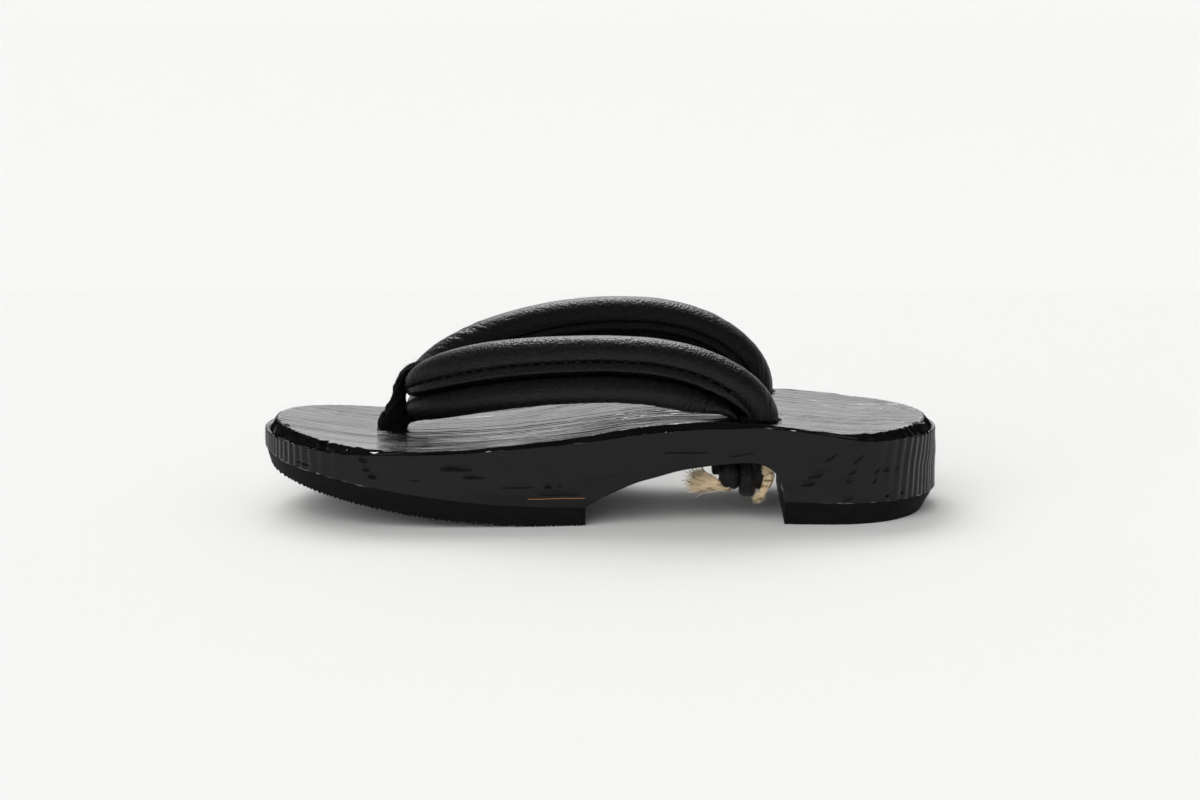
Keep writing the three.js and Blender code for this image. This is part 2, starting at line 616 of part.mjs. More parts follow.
function strapKnot(hole, mirror, swell = 0) {
  const collar = { ...hole, radius: KNOT_COLLAR.radius + swell };
  let knot = postAt(collar, KNOT_COLLAR.bottom, KNOT_COLLAR.top, KNOT_COLLAR.sides);
  for (const lobe of KNOT_LOBES) {
    const form = new THREE.SphereGeometry(1, 12, 8);
    form.rotateX(Math.PI / 2);
    form.scale(lobe.rx + swell, lobe.ry + swell, (lobe.top - lobe.bottom) / 2 + swell);
    form.translate(hole.x + lobe.x, hole.y + lobe.y * mirror, (lobe.top + lobe.bottom) / 2);
    knot = knot.add(manifoldFrom(form));
  }
  return knot.subtract(archRoof());
}

// Wood over the arch and the tails in its holes, down to which the knots are pulled
function archRoof() {
  const depth = ABOVE_BASE - KNOT_COLLAR.top;
  const tails = new THREE.BoxGeometry(WIDTH, WIDTH, depth);
  tails.translate(OUTER_HOLE.x, 0, KNOT_COLLAR.top + depth / 2);
  return baseBlank().subtract(undersideCutter(GAP)).add(manifoldFrom(tails));
}

// Round tube through rows of x, y, z and radius
function tubeThrough(rows, origin, mirror) {
  const rings = rows.map((row, i) => {
    const before = rows[Math.max(i - 1, 0)];
    const after = rows[Math.min(i + 1, rows.length - 1)];
    const along = new THREE.Vector3(after.x - before.x, (after.y - before.y) * mirror, after.z - before.z);
    along.normalize();
    const side = new THREE.Vector3(0, 1, 0).addScaledVector(along, -along.y).normalize();
    const up = new THREE.Vector3().crossVectors(along, side);
    const middle = new THREE.Vector3(origin.x + row.x, origin.y + row.y * mirror, row.z);
    const ring = [];
    for (let n = 0; n < CORD_SIDES; n += 1) {
      const angle = (2 * Math.PI * n) / CORD_SIDES;
      ring.push(middle.clone()
        .addScaledVector(side, row.radius * Math.cos(angle))
        .addScaledVector(up, row.radius * Math.sin(angle)));
    }
    return ring;
  });
  return loft(rings);
}

function cordEnd(hole, cord, mirror) {
  let bundle = tubeThrough(cord.route, hole, mirror);
  const { heading, rise, spread, length, radius, locks } = cord.fan;
  const root = cord.route[cord.route.length - 1];
  for (let i = 0; i < locks; i += 1) {
    const turn = degrees(heading + spread * LOCK_TURN.share * Math.sin(i * LOCK_TURN.rate));
    const climb = degrees(rise + spread * (i / (locks - 1) - 0.5));
    const reach = length * (1 - LOCK_REACH.share * (1 - Math.cos(i * LOCK_REACH.rate)));
    const curl = LOCK_CURL.rise * Math.sin(i * LOCK_CURL.rate);
    const rows = LOCK_ROWS.map((t) => ({
      x: root.x + Math.cos(turn) * Math.cos(climb) * reach * t,
      y: root.y + Math.sin(turn) * Math.cos(climb) * reach * t,
      z: root.z + Math.sin(climb) * reach * t + curl * t * t,
      radius: radius * (1 - t) + LOCK_TIP * t,
    }));
    bundle = bundle.add(tubeThrough(rows, hole, mirror));
  }
  return bundle.subtract(strapKnot(hole, mirror, GAP));
}

const geta = new THREE.Group();
geta.add(named('wood_base', woodBase(), LACQUER));
geta.add(named('front_tread', frontTread(), RUBBER));
geta.add(named('heel_tread', heelTread(), RUBBER));
geta.add(named('strap', strap(), LEATHER));
geta.add(named('toe_thong', toeThong(), CLOTH));
geta.add(named('strap_knot_outer', strapKnot(OUTER_HOLE, 1), LEATHER));
geta.add(named('strap_knot_inner', strapKnot(INNER_HOLE, -1), LEATHER));
for (const [side, hole, mirror] of [['outer', OUTER_HOLE, 1], ['inner', INNER_HOLE, -1]]) {
  geta.add(named(`cord_end_${side}_front`, cordEnd(hole, FRONT_CORD, mirror), JUTE));
  geta.add(named(`cord_end_${side}_rear`, cordEnd(hole, REAR_CORD, mirror), JUTE));
}

export default geta;
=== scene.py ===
"""Geta sandal for the left foot: lacquered wooden base, rubber treads, padded leather strap, cloth toe
thong, knots and frayed cord ends. Tables are in millimetres: toe at -X, outer side of the foot at -Y."""
import math

import bpy
import numpy as np
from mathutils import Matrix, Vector, geometry


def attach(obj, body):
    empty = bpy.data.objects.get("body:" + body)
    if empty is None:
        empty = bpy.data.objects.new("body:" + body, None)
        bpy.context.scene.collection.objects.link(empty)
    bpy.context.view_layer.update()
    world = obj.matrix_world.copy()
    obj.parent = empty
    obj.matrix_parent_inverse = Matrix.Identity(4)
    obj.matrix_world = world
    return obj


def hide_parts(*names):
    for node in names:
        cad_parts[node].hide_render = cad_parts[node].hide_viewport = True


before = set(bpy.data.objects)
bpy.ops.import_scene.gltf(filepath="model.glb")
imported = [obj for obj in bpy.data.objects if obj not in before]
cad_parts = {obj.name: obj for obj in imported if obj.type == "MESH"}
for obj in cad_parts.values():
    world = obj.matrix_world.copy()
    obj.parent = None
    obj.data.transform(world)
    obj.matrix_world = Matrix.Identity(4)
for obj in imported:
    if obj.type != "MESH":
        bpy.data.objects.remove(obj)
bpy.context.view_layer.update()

bl_info = {
    "name": "Geta sandal",
    "version": (1, 0, 0),
    "blender": (4, 5, 0),
    "location": "3D View > Sidebar > Geta",
    "description": "Builds a lacquered geta sandal with its strap, thong, treads and studio stage",
    "category": "Add Mesh",
}

MM = 0.001

# Base

LENGTH = 245.0
TOE_RADIUS = 44.5
HEEL_RADIUS = 38.5
TOE_CENTRE_X = TOE_RADIUS - LENGTH / 2
HEEL_CENTRE_X = LENGTH / 2 - HEEL_RADIUS
HEEL_FRONT_X = 66.1
HEEL_JOIN = 8.4
HEEL_JOIN_REAR = 7.5
HEEL_UNDERCUT = 4.6
TOE_UNDERCUT = 2.0
TOE_HOLE = (-76.0, 5.0, 5.3)
TOE_RECESS = (-76.0, 5.0, 11.0)
TOE_RECESS_TOP = 17.6
OUTER_HOLE = (54.5, -27.0, 6.0)
INNER_HOLE = (54.5, 28.0, 6.0)


def table(columns, *rows):
    """A table's columns by name"""
    return dict(zip(columns.split(), np.array(rows, float).T))


PLAN = table(
    "x outer inner",
    (-78, 44.0, 44.0), (-60, 44.6, 44.6), (-40, 43.8, 43.0), (-20, 42.0, 40.0), (0, 39.6, 37.0),
    (20, 37.6, 35.2), (40, 36.6, 34.8), (60, 37.2, 36.2), (72, 38.1, 37.7), (84, 38.5, 38.5),
)
FOOTBED = table(
    "x outer middle inner bevel",
    (-122.5, 33.4, 33.4, 33.4, 4.5), (-110, 32.0, 31.3, 31.5, 4.2), (-95, 30.0, 28.9, 29.3, 3.2),
    (-80, 28.5, 27.3, 27.7, 2.0), (-65, 28.0, 27.1, 27.8, 1.2), (-50, 28.4, 27.8, 28.4, 1.2),
    (-35, 29.6, 29.1, 29.7, 1.2), (-20, 30.9, 31.2, 31.8, 1.4), (-5, 32.5, 33.6, 34.0, 1.9),
    (12, 34.9, 36.2, 36.7, 2.3), (25, 36.1, 37.5, 37.9, 2.3), (40, 36.8, 37.6, 37.9, 2.2),
    (55, 36.5, 36.7, 37.0, 1.4), (66, 35.6, 35.6, 35.7, 0.9), (80, 33.9, 34.1, 34.4, 1.1),
    (97, 32.6, 32.6, 33.1, 2.6), (110, 33.2, 32.5, 33.0, 3.5), (122.5, 33.0, 33.0, 33.0, 4.1),
)
FOREFOOT = table(
    "x join ground",
    (-126, 23.9, 17.4), (-120, 22.2, 15.9), (-112, 20.5, 14.0), (-100, 18.5, 11.1), (-84, 15.4, 7.6),
    (-68, 12.5, 4.3), (-52, 10.1, 2.1), (-36, 8.4, 0.8), (-22, 7.5, 0.0), (-5.4, 6.8, 0.0),
)
ARCH = table(
    "x z",
    (-5.4, 6.8), (1.6, 10.7), (11.9, 15.1), (19.9, 17.4), (27.8, 19.5), (35.9, 20.8), (44, 21.8),
    (51.5, 22.4), (56.2, 22.2), (60.2, 20.8), (63, 18.4), (64.8, 15.0), (65.8, 11.4), (66.1, 8.4),
)
# Gouged bevel from the wall to the footbed: shares of its width inwards and of its drop
BEVEL_FORM = table(
    "inset drop rise",
    (0.0, 1.06, 0), (0.01, 0.995, 20), (0.04, 0.965, 50), (0.1, 0.95, 78), (0.2, 0.925, 72),
    (0.31, 0.87, 60), (0.45, 0.73, 45), (0.6, 0.54, 40), (0.75, 0.33, 38), (0.88, 0.14, 42),
    (0.94, 0.05, 58), (0.98, 0.012, 78),
)
BEVEL_GOUGES = (0.2, 6.5)
# Shallow hollows left in the outer wall: place, length, turn in degrees, height and depth
WALL_HOLLOWS = table(
    "x z long turn high deep",
    (-51.8, 22.0, 12.1, -3, 1.2, 0.3), (-45.6, 18.9, 7.5, -1, 1.0, 0.26),
    (-30.6, 15.0, 15.3, 0, 0.9, 0.16),
    (-15.6, 12.1, 17.5, 0, 0.9, 0.22), (-18.0, 14.8, 2.0, -4, 0.8, 0.2), (-86.8, 27.7, 2.6, -11, 1.4, 0.34),
    (-84.6, 25.0, 3.8, -9, 1.3, 0.36), (-83.5, 21.6, 3.0, -2, 1.1, 0.3), (-81.5, 19.1, 3.4, -10, 1.2, 0.34),
    (-106.5, 21.6, 7.5, -15, 1.0, 0.12), (-94.3, 20.9, 3.0, -81, 0.8, 0.1),
    (81.8, 24.6, 8.2, 38, 1.2, 0.34), (77.8, 18.4, 6.8, 20, 1.4, 0.4), (74.7, 15.1, 5.6, 5, 1.1, 0.3),
    (92.9, 24.6, 6.2, 41, 1.1, 0.3), (90.5, 19.5, 4.2, 25, 1.1, 0.28), (89.2, 16.1, 3.8, 22, 1.1, 0.28),
    (98.5, 16.1, 3.0, 51, 1.1, 0.3), (99.4, 19.8, 4.2, 60, 0.9, 0.2), (89.0, 9.6, 4.0, 14, 0.9, 0.2),
    (103.4, 9.9, 2.8, 12, 1.1, 0.28), (108.5, 10.2, 2.2, 12, 1.0, 0.24), (20.0, 24.0, 14.0, 4, 1.2, 0.07),
    (35.0, 26.5, 18.0, -2, 1.4, 0.06), (5.0, 17.5, 12.0, 9, 1.1, 0.07), (-66.0, 17.6, 9.0, -3, 1.0, 0.1),
    (53.5, 25.9, 18.0, 9, 0.7, 0.11), (30.0, 26.6, 15.0, -2, 0.7, 0.08), (-19.0, 14.9, 2.4, -8, 0.9, 0.3),
    (-14.5, 15.3, 1.4, 10, 0.8, 0.3),
)
HOLLOW_DEPTH = 1.75
# How far the rings bite into the bevel: shares of its width, and the bend they give its slope
NOTCH_SHARES = (0.1, 0.62)
BEVEL_BITE = 0.65
# Mesh of the base: the footbed's cells, steps along the outline at its ends and sides, rows up the wall
TOP_CELL = (2.2, 0.3)
END_STEP = 0.46
SIDE_STEP = 0.9
WALL_ROWS = 50

# Treads: gap under the wood, taper towards the floor, depth of the ribs and raggedness of the cut edge
JOINT_GAP = 0.04
TREAD_TAPER = 0.02
RIB_DEPTH = 0.38
CUT_RAGGED = 0.05
NOSE_RUN = 14

# Strap: one row a section, from the outer hole round the V to the inner hole
STRAP = table(
    "x y z face lean tilt width full groove",
    (53.4, -27.0, 32.6, 270, 2, 90, 21.0, 0.86, 4.0), (53.4, -27.2, 36.4, 270, 4, 88, 22.0, 0.9, 7.0),
    (52.0, -27.8, 39.8, 270, 8, 79, 23.2, 0.95, 6.0), (49.3, -28.5, 42.8, 270, 12, 68, 24.2, 1, 4.4),
    (44.8, -29.3, 46.2, 270, 16, 54, 24.8, 1, 3.4), (39.3, -29.9, 49.0, 270, 20, 40, 25.0, 1, 3),
    (33.0, -30.2, 51.4, 270, 23, 26, 25.0, 1, 3), (25.0, -30.2, 53.4, 269, 25, 12, 25.2, 1, 3),
    (15.0, -29.6, 54.8, 267, 26, 3, 25.2, 1, 3), (3.0, -28.4, 55.1, 264, 27, 0, 25.2, 1, 3),
    (-12.0, -25.9, 54.3, 259, 27, -3, 25.6, 1, 3), (-27.0, -22.5, 52.7, 253, 26, -6, 26.2, 1, 3),
    (-41.0, -17.9, 50.2, 245, 24, -8, 26.4, 0.98, 3), (-51.0, -13.2, 47.6, 236, 20, -8, 25.8, 0.95, 3),
    (-59.5, -8.2, 44.9, 226, 16, -5, 24.4, 0.9, 3), (-65.8, -1.6, 42.0, 205, 9, -1, 20.4, 0.84, 3),
    (-67.4, 5.0, 40.0, 180, 1, 0, 16.0, 0.74, 3), (-65.6, 11.2, 41.8, 154, 9, -1, 19.4, 0.82, 3),
    (-59.5, 16.8, 45.0, 134, 14, -6, 24.2, 0.9, 3), (-51.0, 20.2, 48.7, 124, 16, -10, 25.4, 0.95, 3),
    (-41.0, 23.2, 52.5, 115, 17, -10, 26.0, 0.98, 3), (-27.0, 26.2, 56.3, 107, 18, -8, 26.0, 1, 3),
    (-12.0, 28.3, 58.9, 101, 18, -4, 25.6, 1, 3), (3.0, 29.4, 60.0, 96, 18, 0, 25.4, 1, 3),
    (15.0, 29.8, 59.7, 93, 17, 4, 25.4, 1, 3), (25.5, 29.8, 58.3, 91, 16, 12, 25.2, 1, 3),
    (34.5, 29.6, 55.7, 90, 14, 25, 25.0, 1, 3), (41.5, 29.2, 52.3, 90, 12, 40, 24.8, 1, 3.2),
    (47.0, 28.8, 48.2, 90, 10, 55, 24.4, 1, 3.8), (51.0, 28.4, 43.7, 90, 8, 70, 23.6, 0.97, 5.0),
    (53.2, 28.1, 38.6, 90, 5, 84, 22.6, 0.92, 6.6), (53.6, 28.0, 32.8, 90, 2, 90, 21.0, 0.86, 4.0),
)
STRAP_WIDTH = 25.5
STRAP_STATIONS = 400
UPPER_ROLL = dict(u=5.8, v=0.0, radius=6.7, start=-86, end=130, steps=17)
LOWER_ROLL = dict(u=-7.9, v=0.6, radius=4.85, start=20, end=235, steps=14)
# Stitched lip, its seam's valley first, then its edge and the furrow's bed, then lining and hem
LIP = table("u v open", (1.45, 5.1, 0.6), (1.1, 5.25, 0.9), (0.75, 5.85, 1.0), (0.2, 6.12, 1.3),
            (-0.9, 6.2, 1.8), (-1.9, 6.1, 2.4), (-2.45, 5.8, 2.4), (-2.6, 5.2, 2.4), (-2.4, 4.4, 2.4))
FURROW_BED = table("u open", (-2.3, 1.4), (-2.75, -0.6), (-3.15, -2.2))
# Where the seam and the lip run out at the nose, they join the upper roll's rounding
NOSE_ROUND = dict(u=4.9, v=0.0, high=7.9, deep=6.5)
LINING = table("u v", (-7.0, -4.2), (-5.0, -4.2), (-2.5, -4.35), (0.0, -4.5), (1.9, -4.8), (2.3, -5.8),
               (2.7, -6.7), (3.4, -7.1), (4.2, -6.9), (5.1, -5.6))
# Seam: place in the section, half width, depth and what each stitch pulls in beyond it
SEAM_U = 1.25
SEAM_V = 5.1
SEAM_HALF = 0.42
SEAM_DEPTH = 0.3
SEAM_PULL = 0.6
# Stitches: share of the pitch each covers, and lengths at the holes and the nose that have none
STITCH_SHARE = 0.72
UNSTITCHED_END = 15
UNSTITCHED_NOSE = 9
# Heights of the leather's wrinkles
WRINKLES = dict(swell=0.14, fine=0.36, broad=0.17, all_over=0.02, ribs=0.2, slant=0.36)
# Tails in the holes, and the corner of each that sticks out behind the arm
TAIL = dict(radius=5.2, pleat=0.35, pleats=7, low=20.5, high=38.0)
TAIL_CORNER = dict(start=3.5, reach=7.4, aside=0.6, radius=1.5)

THONG = table(
    "x z thick wide",
    (-76.4, 22.0, 3.0, 3.8), (-76.7, 28.0, 5.6, 4.9), (-75.2, 30.6, 4.8, 4.9), (-74.8, 34.0, 3.9, 4.7),
    (-74.2, 37.6, 3.0, 4.5), (-73.6, 42.4, 2.1, 4.3), (-72.7, 46.2, 1.4, 4.2), (-70.2, 49.2, 1.3, 4.2),
    (-66.6, 50.2, 1.3, 4.2), (-62.8, 49.2, 1.3, 4.0), (-60.6, 45.8, 1.4, 3.8), (-60.2, 41.0, 1.5, 3.4),
    (-61.2, 36.0, 1.7, 3.4), (-63.9, 32.6, 1.9, 3.6), (-68.0, 31.4, 2.0, 3.8), (-71.6, 30.4, 2.2, 4.0),
    (-74.6, 27.0, 2.2, 3.6),
)
THONG_STEM = dict(radius=4.5, low=14, high=29)
THONG_KNOT = dict(radius=5.5, thick=2.5, z=12.6)
# Hairs that stand off the thong above a height: how many, their lengths and radius
NAP = dict(hairs=900, above=27.5, lengths=(0.6, 1.9), radius=0.045)

# Half the thickness of a knot's lobes, and the lobes, measured from its hole
LOBE_HALF = 2.7
KNOT_LOBES = table("x y top bottom rx ry", (-7.9, 0.5, 22.4, 10.6, 4.0, 6.4),
                   (-1.7, -0.8, 22.6, 8.2, 3.0, 7.0), (2.0, 1.2, 22.4, 10.4, 2.9, 6.4),
                   (-12.6, 3.0, 22.0, 15.2, 2.0, 3.6))
# Pleated collar of a knot, right under the hole
KNOT_COLLAR = table("z radius", (22.6, 5.3), (21.6, 5.7), (20.4, 5.9), (19.2, 5.7), (18.2, 5.2), (17.4, 4.2))
# Cord ends, measured from the hole: route, then how the fibres splay
FRONT_CORD = dict(
    route=((-8.0, -2.0, 12.0), (-11.0, -2.6, 12.3), (-13.6, -3.0, 13.1)),
    radius=(1.1, 1.6, 2.3), flat=0.55, heading=180, rise=13, spread=30, length=10.5, fibres=330, thick=0.16,
)
REAR_CORD = dict(
    route=((3.6, -2.6, 21.5), (4.9, -3.4, 19.2), (6.3, -3.8, 16.4), (5.3, -4.0, 13.2), (3.6, -4.0, 10.2),
           (2.9, -4.0, 8.9)),
    radius=(2.4, 2.6, 1.8, 1.3, 1.2, 1.7), flat=0.6, heading=200, rise=-40, spread=70, length=2.6,
    fibres=170, thick=0.14,
)

# Stage, in metres and degrees; the camera looks down on the target from the front
FLOOR_RADII = (120, 300, 800, 2000, 6000)
CAMERA = dict(sensor=36.0, lens=122.85, away=1.5, down=11, target=(-0.00015, 0.0, 0.0383))
# Brightness by slope of the walls, by height of the panel from horizon (0) to zenith (1), and by its width
WALL_TONES = ((0.0, 1.0), (0.36, 1.0), (0.52, 0.05), (1.0, 0.03))
PANEL_BAND = ((0.41, 0.0), (0.47, 1.0), (0.66, 1.0), (0.74, 0.0))
PANEL_WIDTH = ((0.12, 1.0), (0.34, 0.0))
# Lights for matt surfaces: the setting each takes its strength from, its spread and its turn
MATT_LIGHTS = (("light_fill", "fill_strength", 180, (0, 0)), ("light_front", "front_strength", 70, (64, -32)),
               ("light_back", "back_strength", 40, (-42, 28)))
SHINE = dict(place=(0, 0.985, 1.26), turn=-38, size=(0.9, 0.5))


# Numbers and curves

def curve(rows, key, along="x"):
    """Smooth curve through a table's column that never overshoots its rows (monotone cubic)"""
    at, value = rows[along], rows[key]
    step = np.diff(at)
    rise = np.diff(value) / step
    slope = np.zeros_like(value)
    slope[0], slope[-1] = rise[0], rise[-1]
    for i in range(1, len(at) - 1):
        if rise[i - 1] * rise[i] > 0:
            left, right = 2 * step[i] + step[i - 1], step[i] + 2 * step[i - 1]
            slope[i] = (left + right) / (left / rise[i - 1] + right / rise[i])

    def value_at(x):
        x = np.clip(np.asarray(x, float), at[0], at[-1])
        i = np.clip(np.searchsorted(at, x, side="right") - 1, 0, len(at) - 2)
        t = (x - at[i]) / step[i]
        start = value[i] * (1 + 2 * t) * (1 - t) ** 2 + slope[i] * step[i] * t * (1 - t) ** 2
        return start + value[i + 1] * t * t * (3 - 2 * t) + slope[i + 1] * step[i] * t * t * (t - 1)

    return value_at


def noise(points, size, seed):
    """Smooth noise of about -1 to 1 at points (n, 3); size is the millimetres between its knots"""
    knots = np.random.default_rng(seed).normal(size=(32, 32, 32, 3))
    place = np.asarray(points, float) / np.asarray(size, float)
    cell = np.floor(place).astype(int)
    part = place - cell
    fade = part ** 3 * (part * (part * 6 - 15) + 10)
    total = np.zeros(len(place))
    for corner in np.ndindex(2, 2, 2):
        corner = np.array(corner)
        knot = knots[tuple(((cell + corner) % 32).T)]
        weight = np.prod(np.where(corner == 1, fade, 1 - fade), axis=1)
        total += weight * np.einsum("ij,ij->i", knot, part - corner)
    return total


def smoothed(values, passes):
    """Values along a strip with their kinks worn off, both ends kept"""
    values = np.array(values, float)
    for _ in range(passes):
        values[1:-1] = 0.25 * values[:-2] + 0.5 * values[1:-1] + 0.25 * values[2:]
    return values


def evenly(points, count):
    """Indices, as fractions, that cut a polyline into equal lengths"""
    run = np.concatenate([[0], np.cumsum(np.linalg.norm(np.diff(points, axis=0), axis=1))])
    return np.interp(np.linspace(0, run[-1], count), run, np.arange(len(points))), run[-1]


def unit(vectors):
    """Vectors brought to a length of 1"""
    return vectors / np.maximum(np.linalg.norm(vectors, axis=-1, keepdims=True), 1e-9)


# Meshes

def make_piece(name, points, *face_sets, sharp=None):
    """A new object from points in millimetres and arrays of triangles or quads"""
    mesh = bpy.data.meshes.new(name)
    sets = [np.asarray(f, np.int32) for f in face_sets if len(f)]
    corners = np.concatenate([f.ravel() for f in sets])
    sizes = np.concatenate([np.full(len(f), f.shape[1], np.int32) for f in sets])
    starts = np.concatenate([[0], np.cumsum(sizes)[:-1]]).astype(np.int32)
    mesh.vertices.add(len(points))
    mesh.vertices.foreach_set("co", (np.asarray(points) * MM).astype(np.float32).ravel())
    mesh.loops.add(len(corners))
    mesh.loops.foreach_set("vertex_index", corners)
    mesh.polygons.add(len(sizes))
    mesh.polygons.foreach_set("loop_start", starts)
    mesh.update(calc_edges=True)
    mesh.validate()
    piece = bpy.data.objects.new(name, mesh)
    bpy.context.scene.collection.objects.link(piece)
    soften(piece, sharp)
    return piece


def soften(piece, sharp=None):
    """Smooth shading, with edges steeper than sharp degrees left crisp"""
    piece.data.shade_smooth()
    if sharp is not None:
        piece.data.set_sharp_from_angle(angle=math.radians(sharp))


def loft(rings):
    """Points, quads and triangles of a capped tube over rings (n, m, 3), facing outwards"""
    count, around = rings.shape[:2]
    points = rings.reshape(-1, 3)
    r, i = np.meshgrid(np.arange(count - 1), np.arange(around), indexing="ij")
    a = (r * around + i).ravel()
    b = (r * around + (i + 1) % around).ravel()
    quads = np.stack([a, b, b + around, a + around], 1)
    points = np.concatenate([points, rings[0].mean(0)[None], rings[-1].mean(0)[None]])
    k = np.arange(around)
    n = (k + 1) % around
    top = (count - 1) * around
    first, last = count * around, count * around + 1
    tris = np.concatenate([
        np.stack([np.full(around, first), n, k], 1),
        np.stack([np.full(around, last), top + k, top + n], 1),
    ])
    p = points - points.mean(0)
    volume = np.einsum("ij,ij->i", p[quads[:, 0]], np.cross(p[quads[:, 1]], p[quads[:, 2]])).sum()
    if volume < 0:
        quads, tris = quads[:, ::-1], tris[:, ::-1]
    return points, quads, tris


def merged(solids):
    """One set of points, quads and triangles from several lofts"""
    points, quads, tris, base = [], [], [], 0
    for p, q, t in solids:
        points.append(p)
        quads.append(q + base)
        tris.append(t + base)
        base += len(p)
    return np.concatenate(points), np.concatenate(quads), np.concatenate(tris)


def tube(path, radius, sides):
    """Loft of round rings along a path (n, 3); radius is one number or one for each point"""
    along = unit(np.gradient(path, axis=0))
    side = unit(np.cross(along, (0.0, 0.0, 1.0)))
    up = np.cross(side, along)
    angle = np.linspace(0, 2 * np.pi, sides, endpoint=False)
    radius = np.broadcast_to(radius, len(path))[:, None, None]
    rings = path[:, None] + radius * (
        np.cos(angle)[None, :, None] * side[:, None] + np.sin(angle)[None, :, None] * up[:, None])
    return loft(rings)


def strands(paths, radii, sides):
    """Many thin tapered tubes at once: paths (fibres, points, 3) and radii (fibres, points)"""
    fibres, length = paths.shape[:2]
    along = unit(np.gradient(paths, axis=1))
    side = unit(np.cross(along, np.array([0.31, 0.87, 0.39])))
    up = np.cross(side, along)
    angle = np.linspace(0, 2 * np.pi, sides, endpoint=False)
    rings = paths[:, :, None] + radii[:, :, None, None] * (
        np.cos(angle)[:, None] * side[:, :, None] + np.sin(angle)[:, None] * up[:, :, None])
    f, r, i = np.meshgrid(np.arange(fibres), np.arange(length - 1), np.arange(sides), indexing="ij")
    a = (f * length + r) * sides + i
    b = (f * length + r) * sides + (i + 1) % sides
    quads = np.stack([a, b, b + sides, a + sides], -1).reshape(-1, 4)[:, ::-1]
    base = np.arange(fibres)[:, None] * length * sides
    k = np.arange(sides)[None]
    low = base + k
    high = base + (length - 1) * sides + k
    caps = np.concatenate([low, high[:, ::-1]]) if sides == 4 else np.zeros((0, 4), int)
    return rings.reshape(-1, 3), np.concatenate([quads, caps]), np.zeros((0, 3), int)


def evaluated(piece):
    """The piece's mesh with its modifiers applied"""
    graph = bpy.context.evaluated_depsgraph_get()
    mesh = bpy.data.meshes.new_from_object(piece.evaluated_get(graph))
    piece.modifiers.clear()
    old, piece.data = piece.data, mesh
    bpy.data.meshes.remove(old)
    mesh.name = piece.name


def cut_away(piece, cutters):
    """Takes the cutters' solids out of the piece"""
    for cutter in cutters:
        cut = piece.modifiers.new("cut", "BOOLEAN")
        cut.operation = "DIFFERENCE"
        cut.solver = "MANIFOLD"
        cut.object = cutter
    evaluated(piece)
    for cutter in cutters:
        mesh = cutter.data
        bpy.data.objects.remove(cutter)
        bpy.data.meshes.remove(mesh)


def finish_piece(piece, material, slot, *nodes):
    """Material, body and the nodes it stands for; the slot argument is not used"""
    if not len(piece.data.polygons):
        raise RuntimeError(piece.name + " came out empty")
    piece.data.materials.clear()
    piece.data.materials.append(material)
    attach(piece, "root")
    if nodes:
        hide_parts(*nodes)


# Form of the base

outer_half, inner_half = curve(PLAN, "outer"), curve(PLAN, "inner")
bevel_width = curve(FOOTBED, "bevel")
outer_top, middle_top, inner_top = (curve(FOOTBED, key) for key in ("outer", "middle", "inner"))
forefoot_join, forefoot_ground = curve(FOREFOOT, "join"), curve(FOREFOOT, "ground")


def half_width(x, side):
    """Half width of the plan at x, side -1 for the outer side and 1 for the inner one"""
    x = np.asarray(x, float)
    toe = PLAN["outer"][0] * np.sqrt(np.clip(1 - ((TOE_CENTRE_X - x) / TOE_RADIUS) ** 2, 0, 1))
    heel = HEEL_RADIUS * np.sqrt(np.clip(1 - ((x - HEEL_CENTRE_X) / HEEL_RADIUS) ** 2, 0, 1))
    middle = np.where(np.asarray(side) < 0, outer_half(x), inner_half(x))
    return np.where(x < TOE_CENTRE_X, toe, np.where(x > HEEL_CENTRE_X, heel, middle))


def footbed(x, y):
    """Height of the footbed without its grain"""
    edge = np.where(np.asarray(y) < 0, outer_top(x), inner_top(x))
    across = np.minimum(1, np.abs(y) / np.maximum(half_width(x, y), 1))
    return middle_top(x) + (edge - middle_top(x)) * across ** 2


def underside(x):
    """Height of the wood's lower face along the base"""
    arch = np.interp(x, ARCH["x"], ARCH["z"])
    heel = HEEL_JOIN + (HEEL_JOIN_REAR - HEEL_JOIN) * (x - HEEL_FRONT_X) / (LENGTH / 2 - HEEL_FRONT_X)
    return np.where(x < ARCH["x"][0], forefoot_join(x), np.where(x > HEEL_FRONT_X, heel, arch))


def plan_outline(end_step, side_step):
    """Plan outline, anticlockwise from above: points (n, 2), the spine point of each and its normal"""
    straight = np.linspace(TOE_CENTRE_X, HEEL_CENTRE_X,
                           round((HEEL_CENTRE_X - TOE_CENTRE_X) / side_step) + 1)
    heel = np.radians(np.linspace(-90, 90, round(np.pi * HEEL_RADIUS / end_step) + 1)[1:-1])
    toe = np.radians(np.linspace(90, 270, round(np.pi * TOE_RADIUS / end_step) + 1)[1:-1])
    back = straight[::-1]
    x = np.concatenate([straight, HEEL_CENTRE_X + HEEL_RADIUS * np.cos(heel), back,
                        TOE_CENTRE_X + TOE_RADIUS * np.cos(toe)])
    y = np.concatenate([-outer_half(straight), HEEL_RADIUS * np.sin(heel), inner_half(back),
                        PLAN["outer"][0] * np.sin(toe)])
    spine = np.clip(x, TOE_CENTRE_X, HEEL_CENTRE_X)
    points = np.stack([x, y], 1)
    run = np.roll(points, -1, 0) - np.roll(points, 1, 0)
    return points, spine, unit(np.stack([run[:, 1], -run[:, 0]], 1))


def rings_at(points, spacing):
    """Growth rings at points: number of each, and the share of it that has been crossed"""
    sway = 6.5 * noise(points, (150, 70, 110), 3) + 0.9 * noise(points, (60, 30, 40), 4)
    place = (points[:, 1] + sway) / spacing
    ring = np.floor(place).astype(int)
    return ring % 256, place - ring


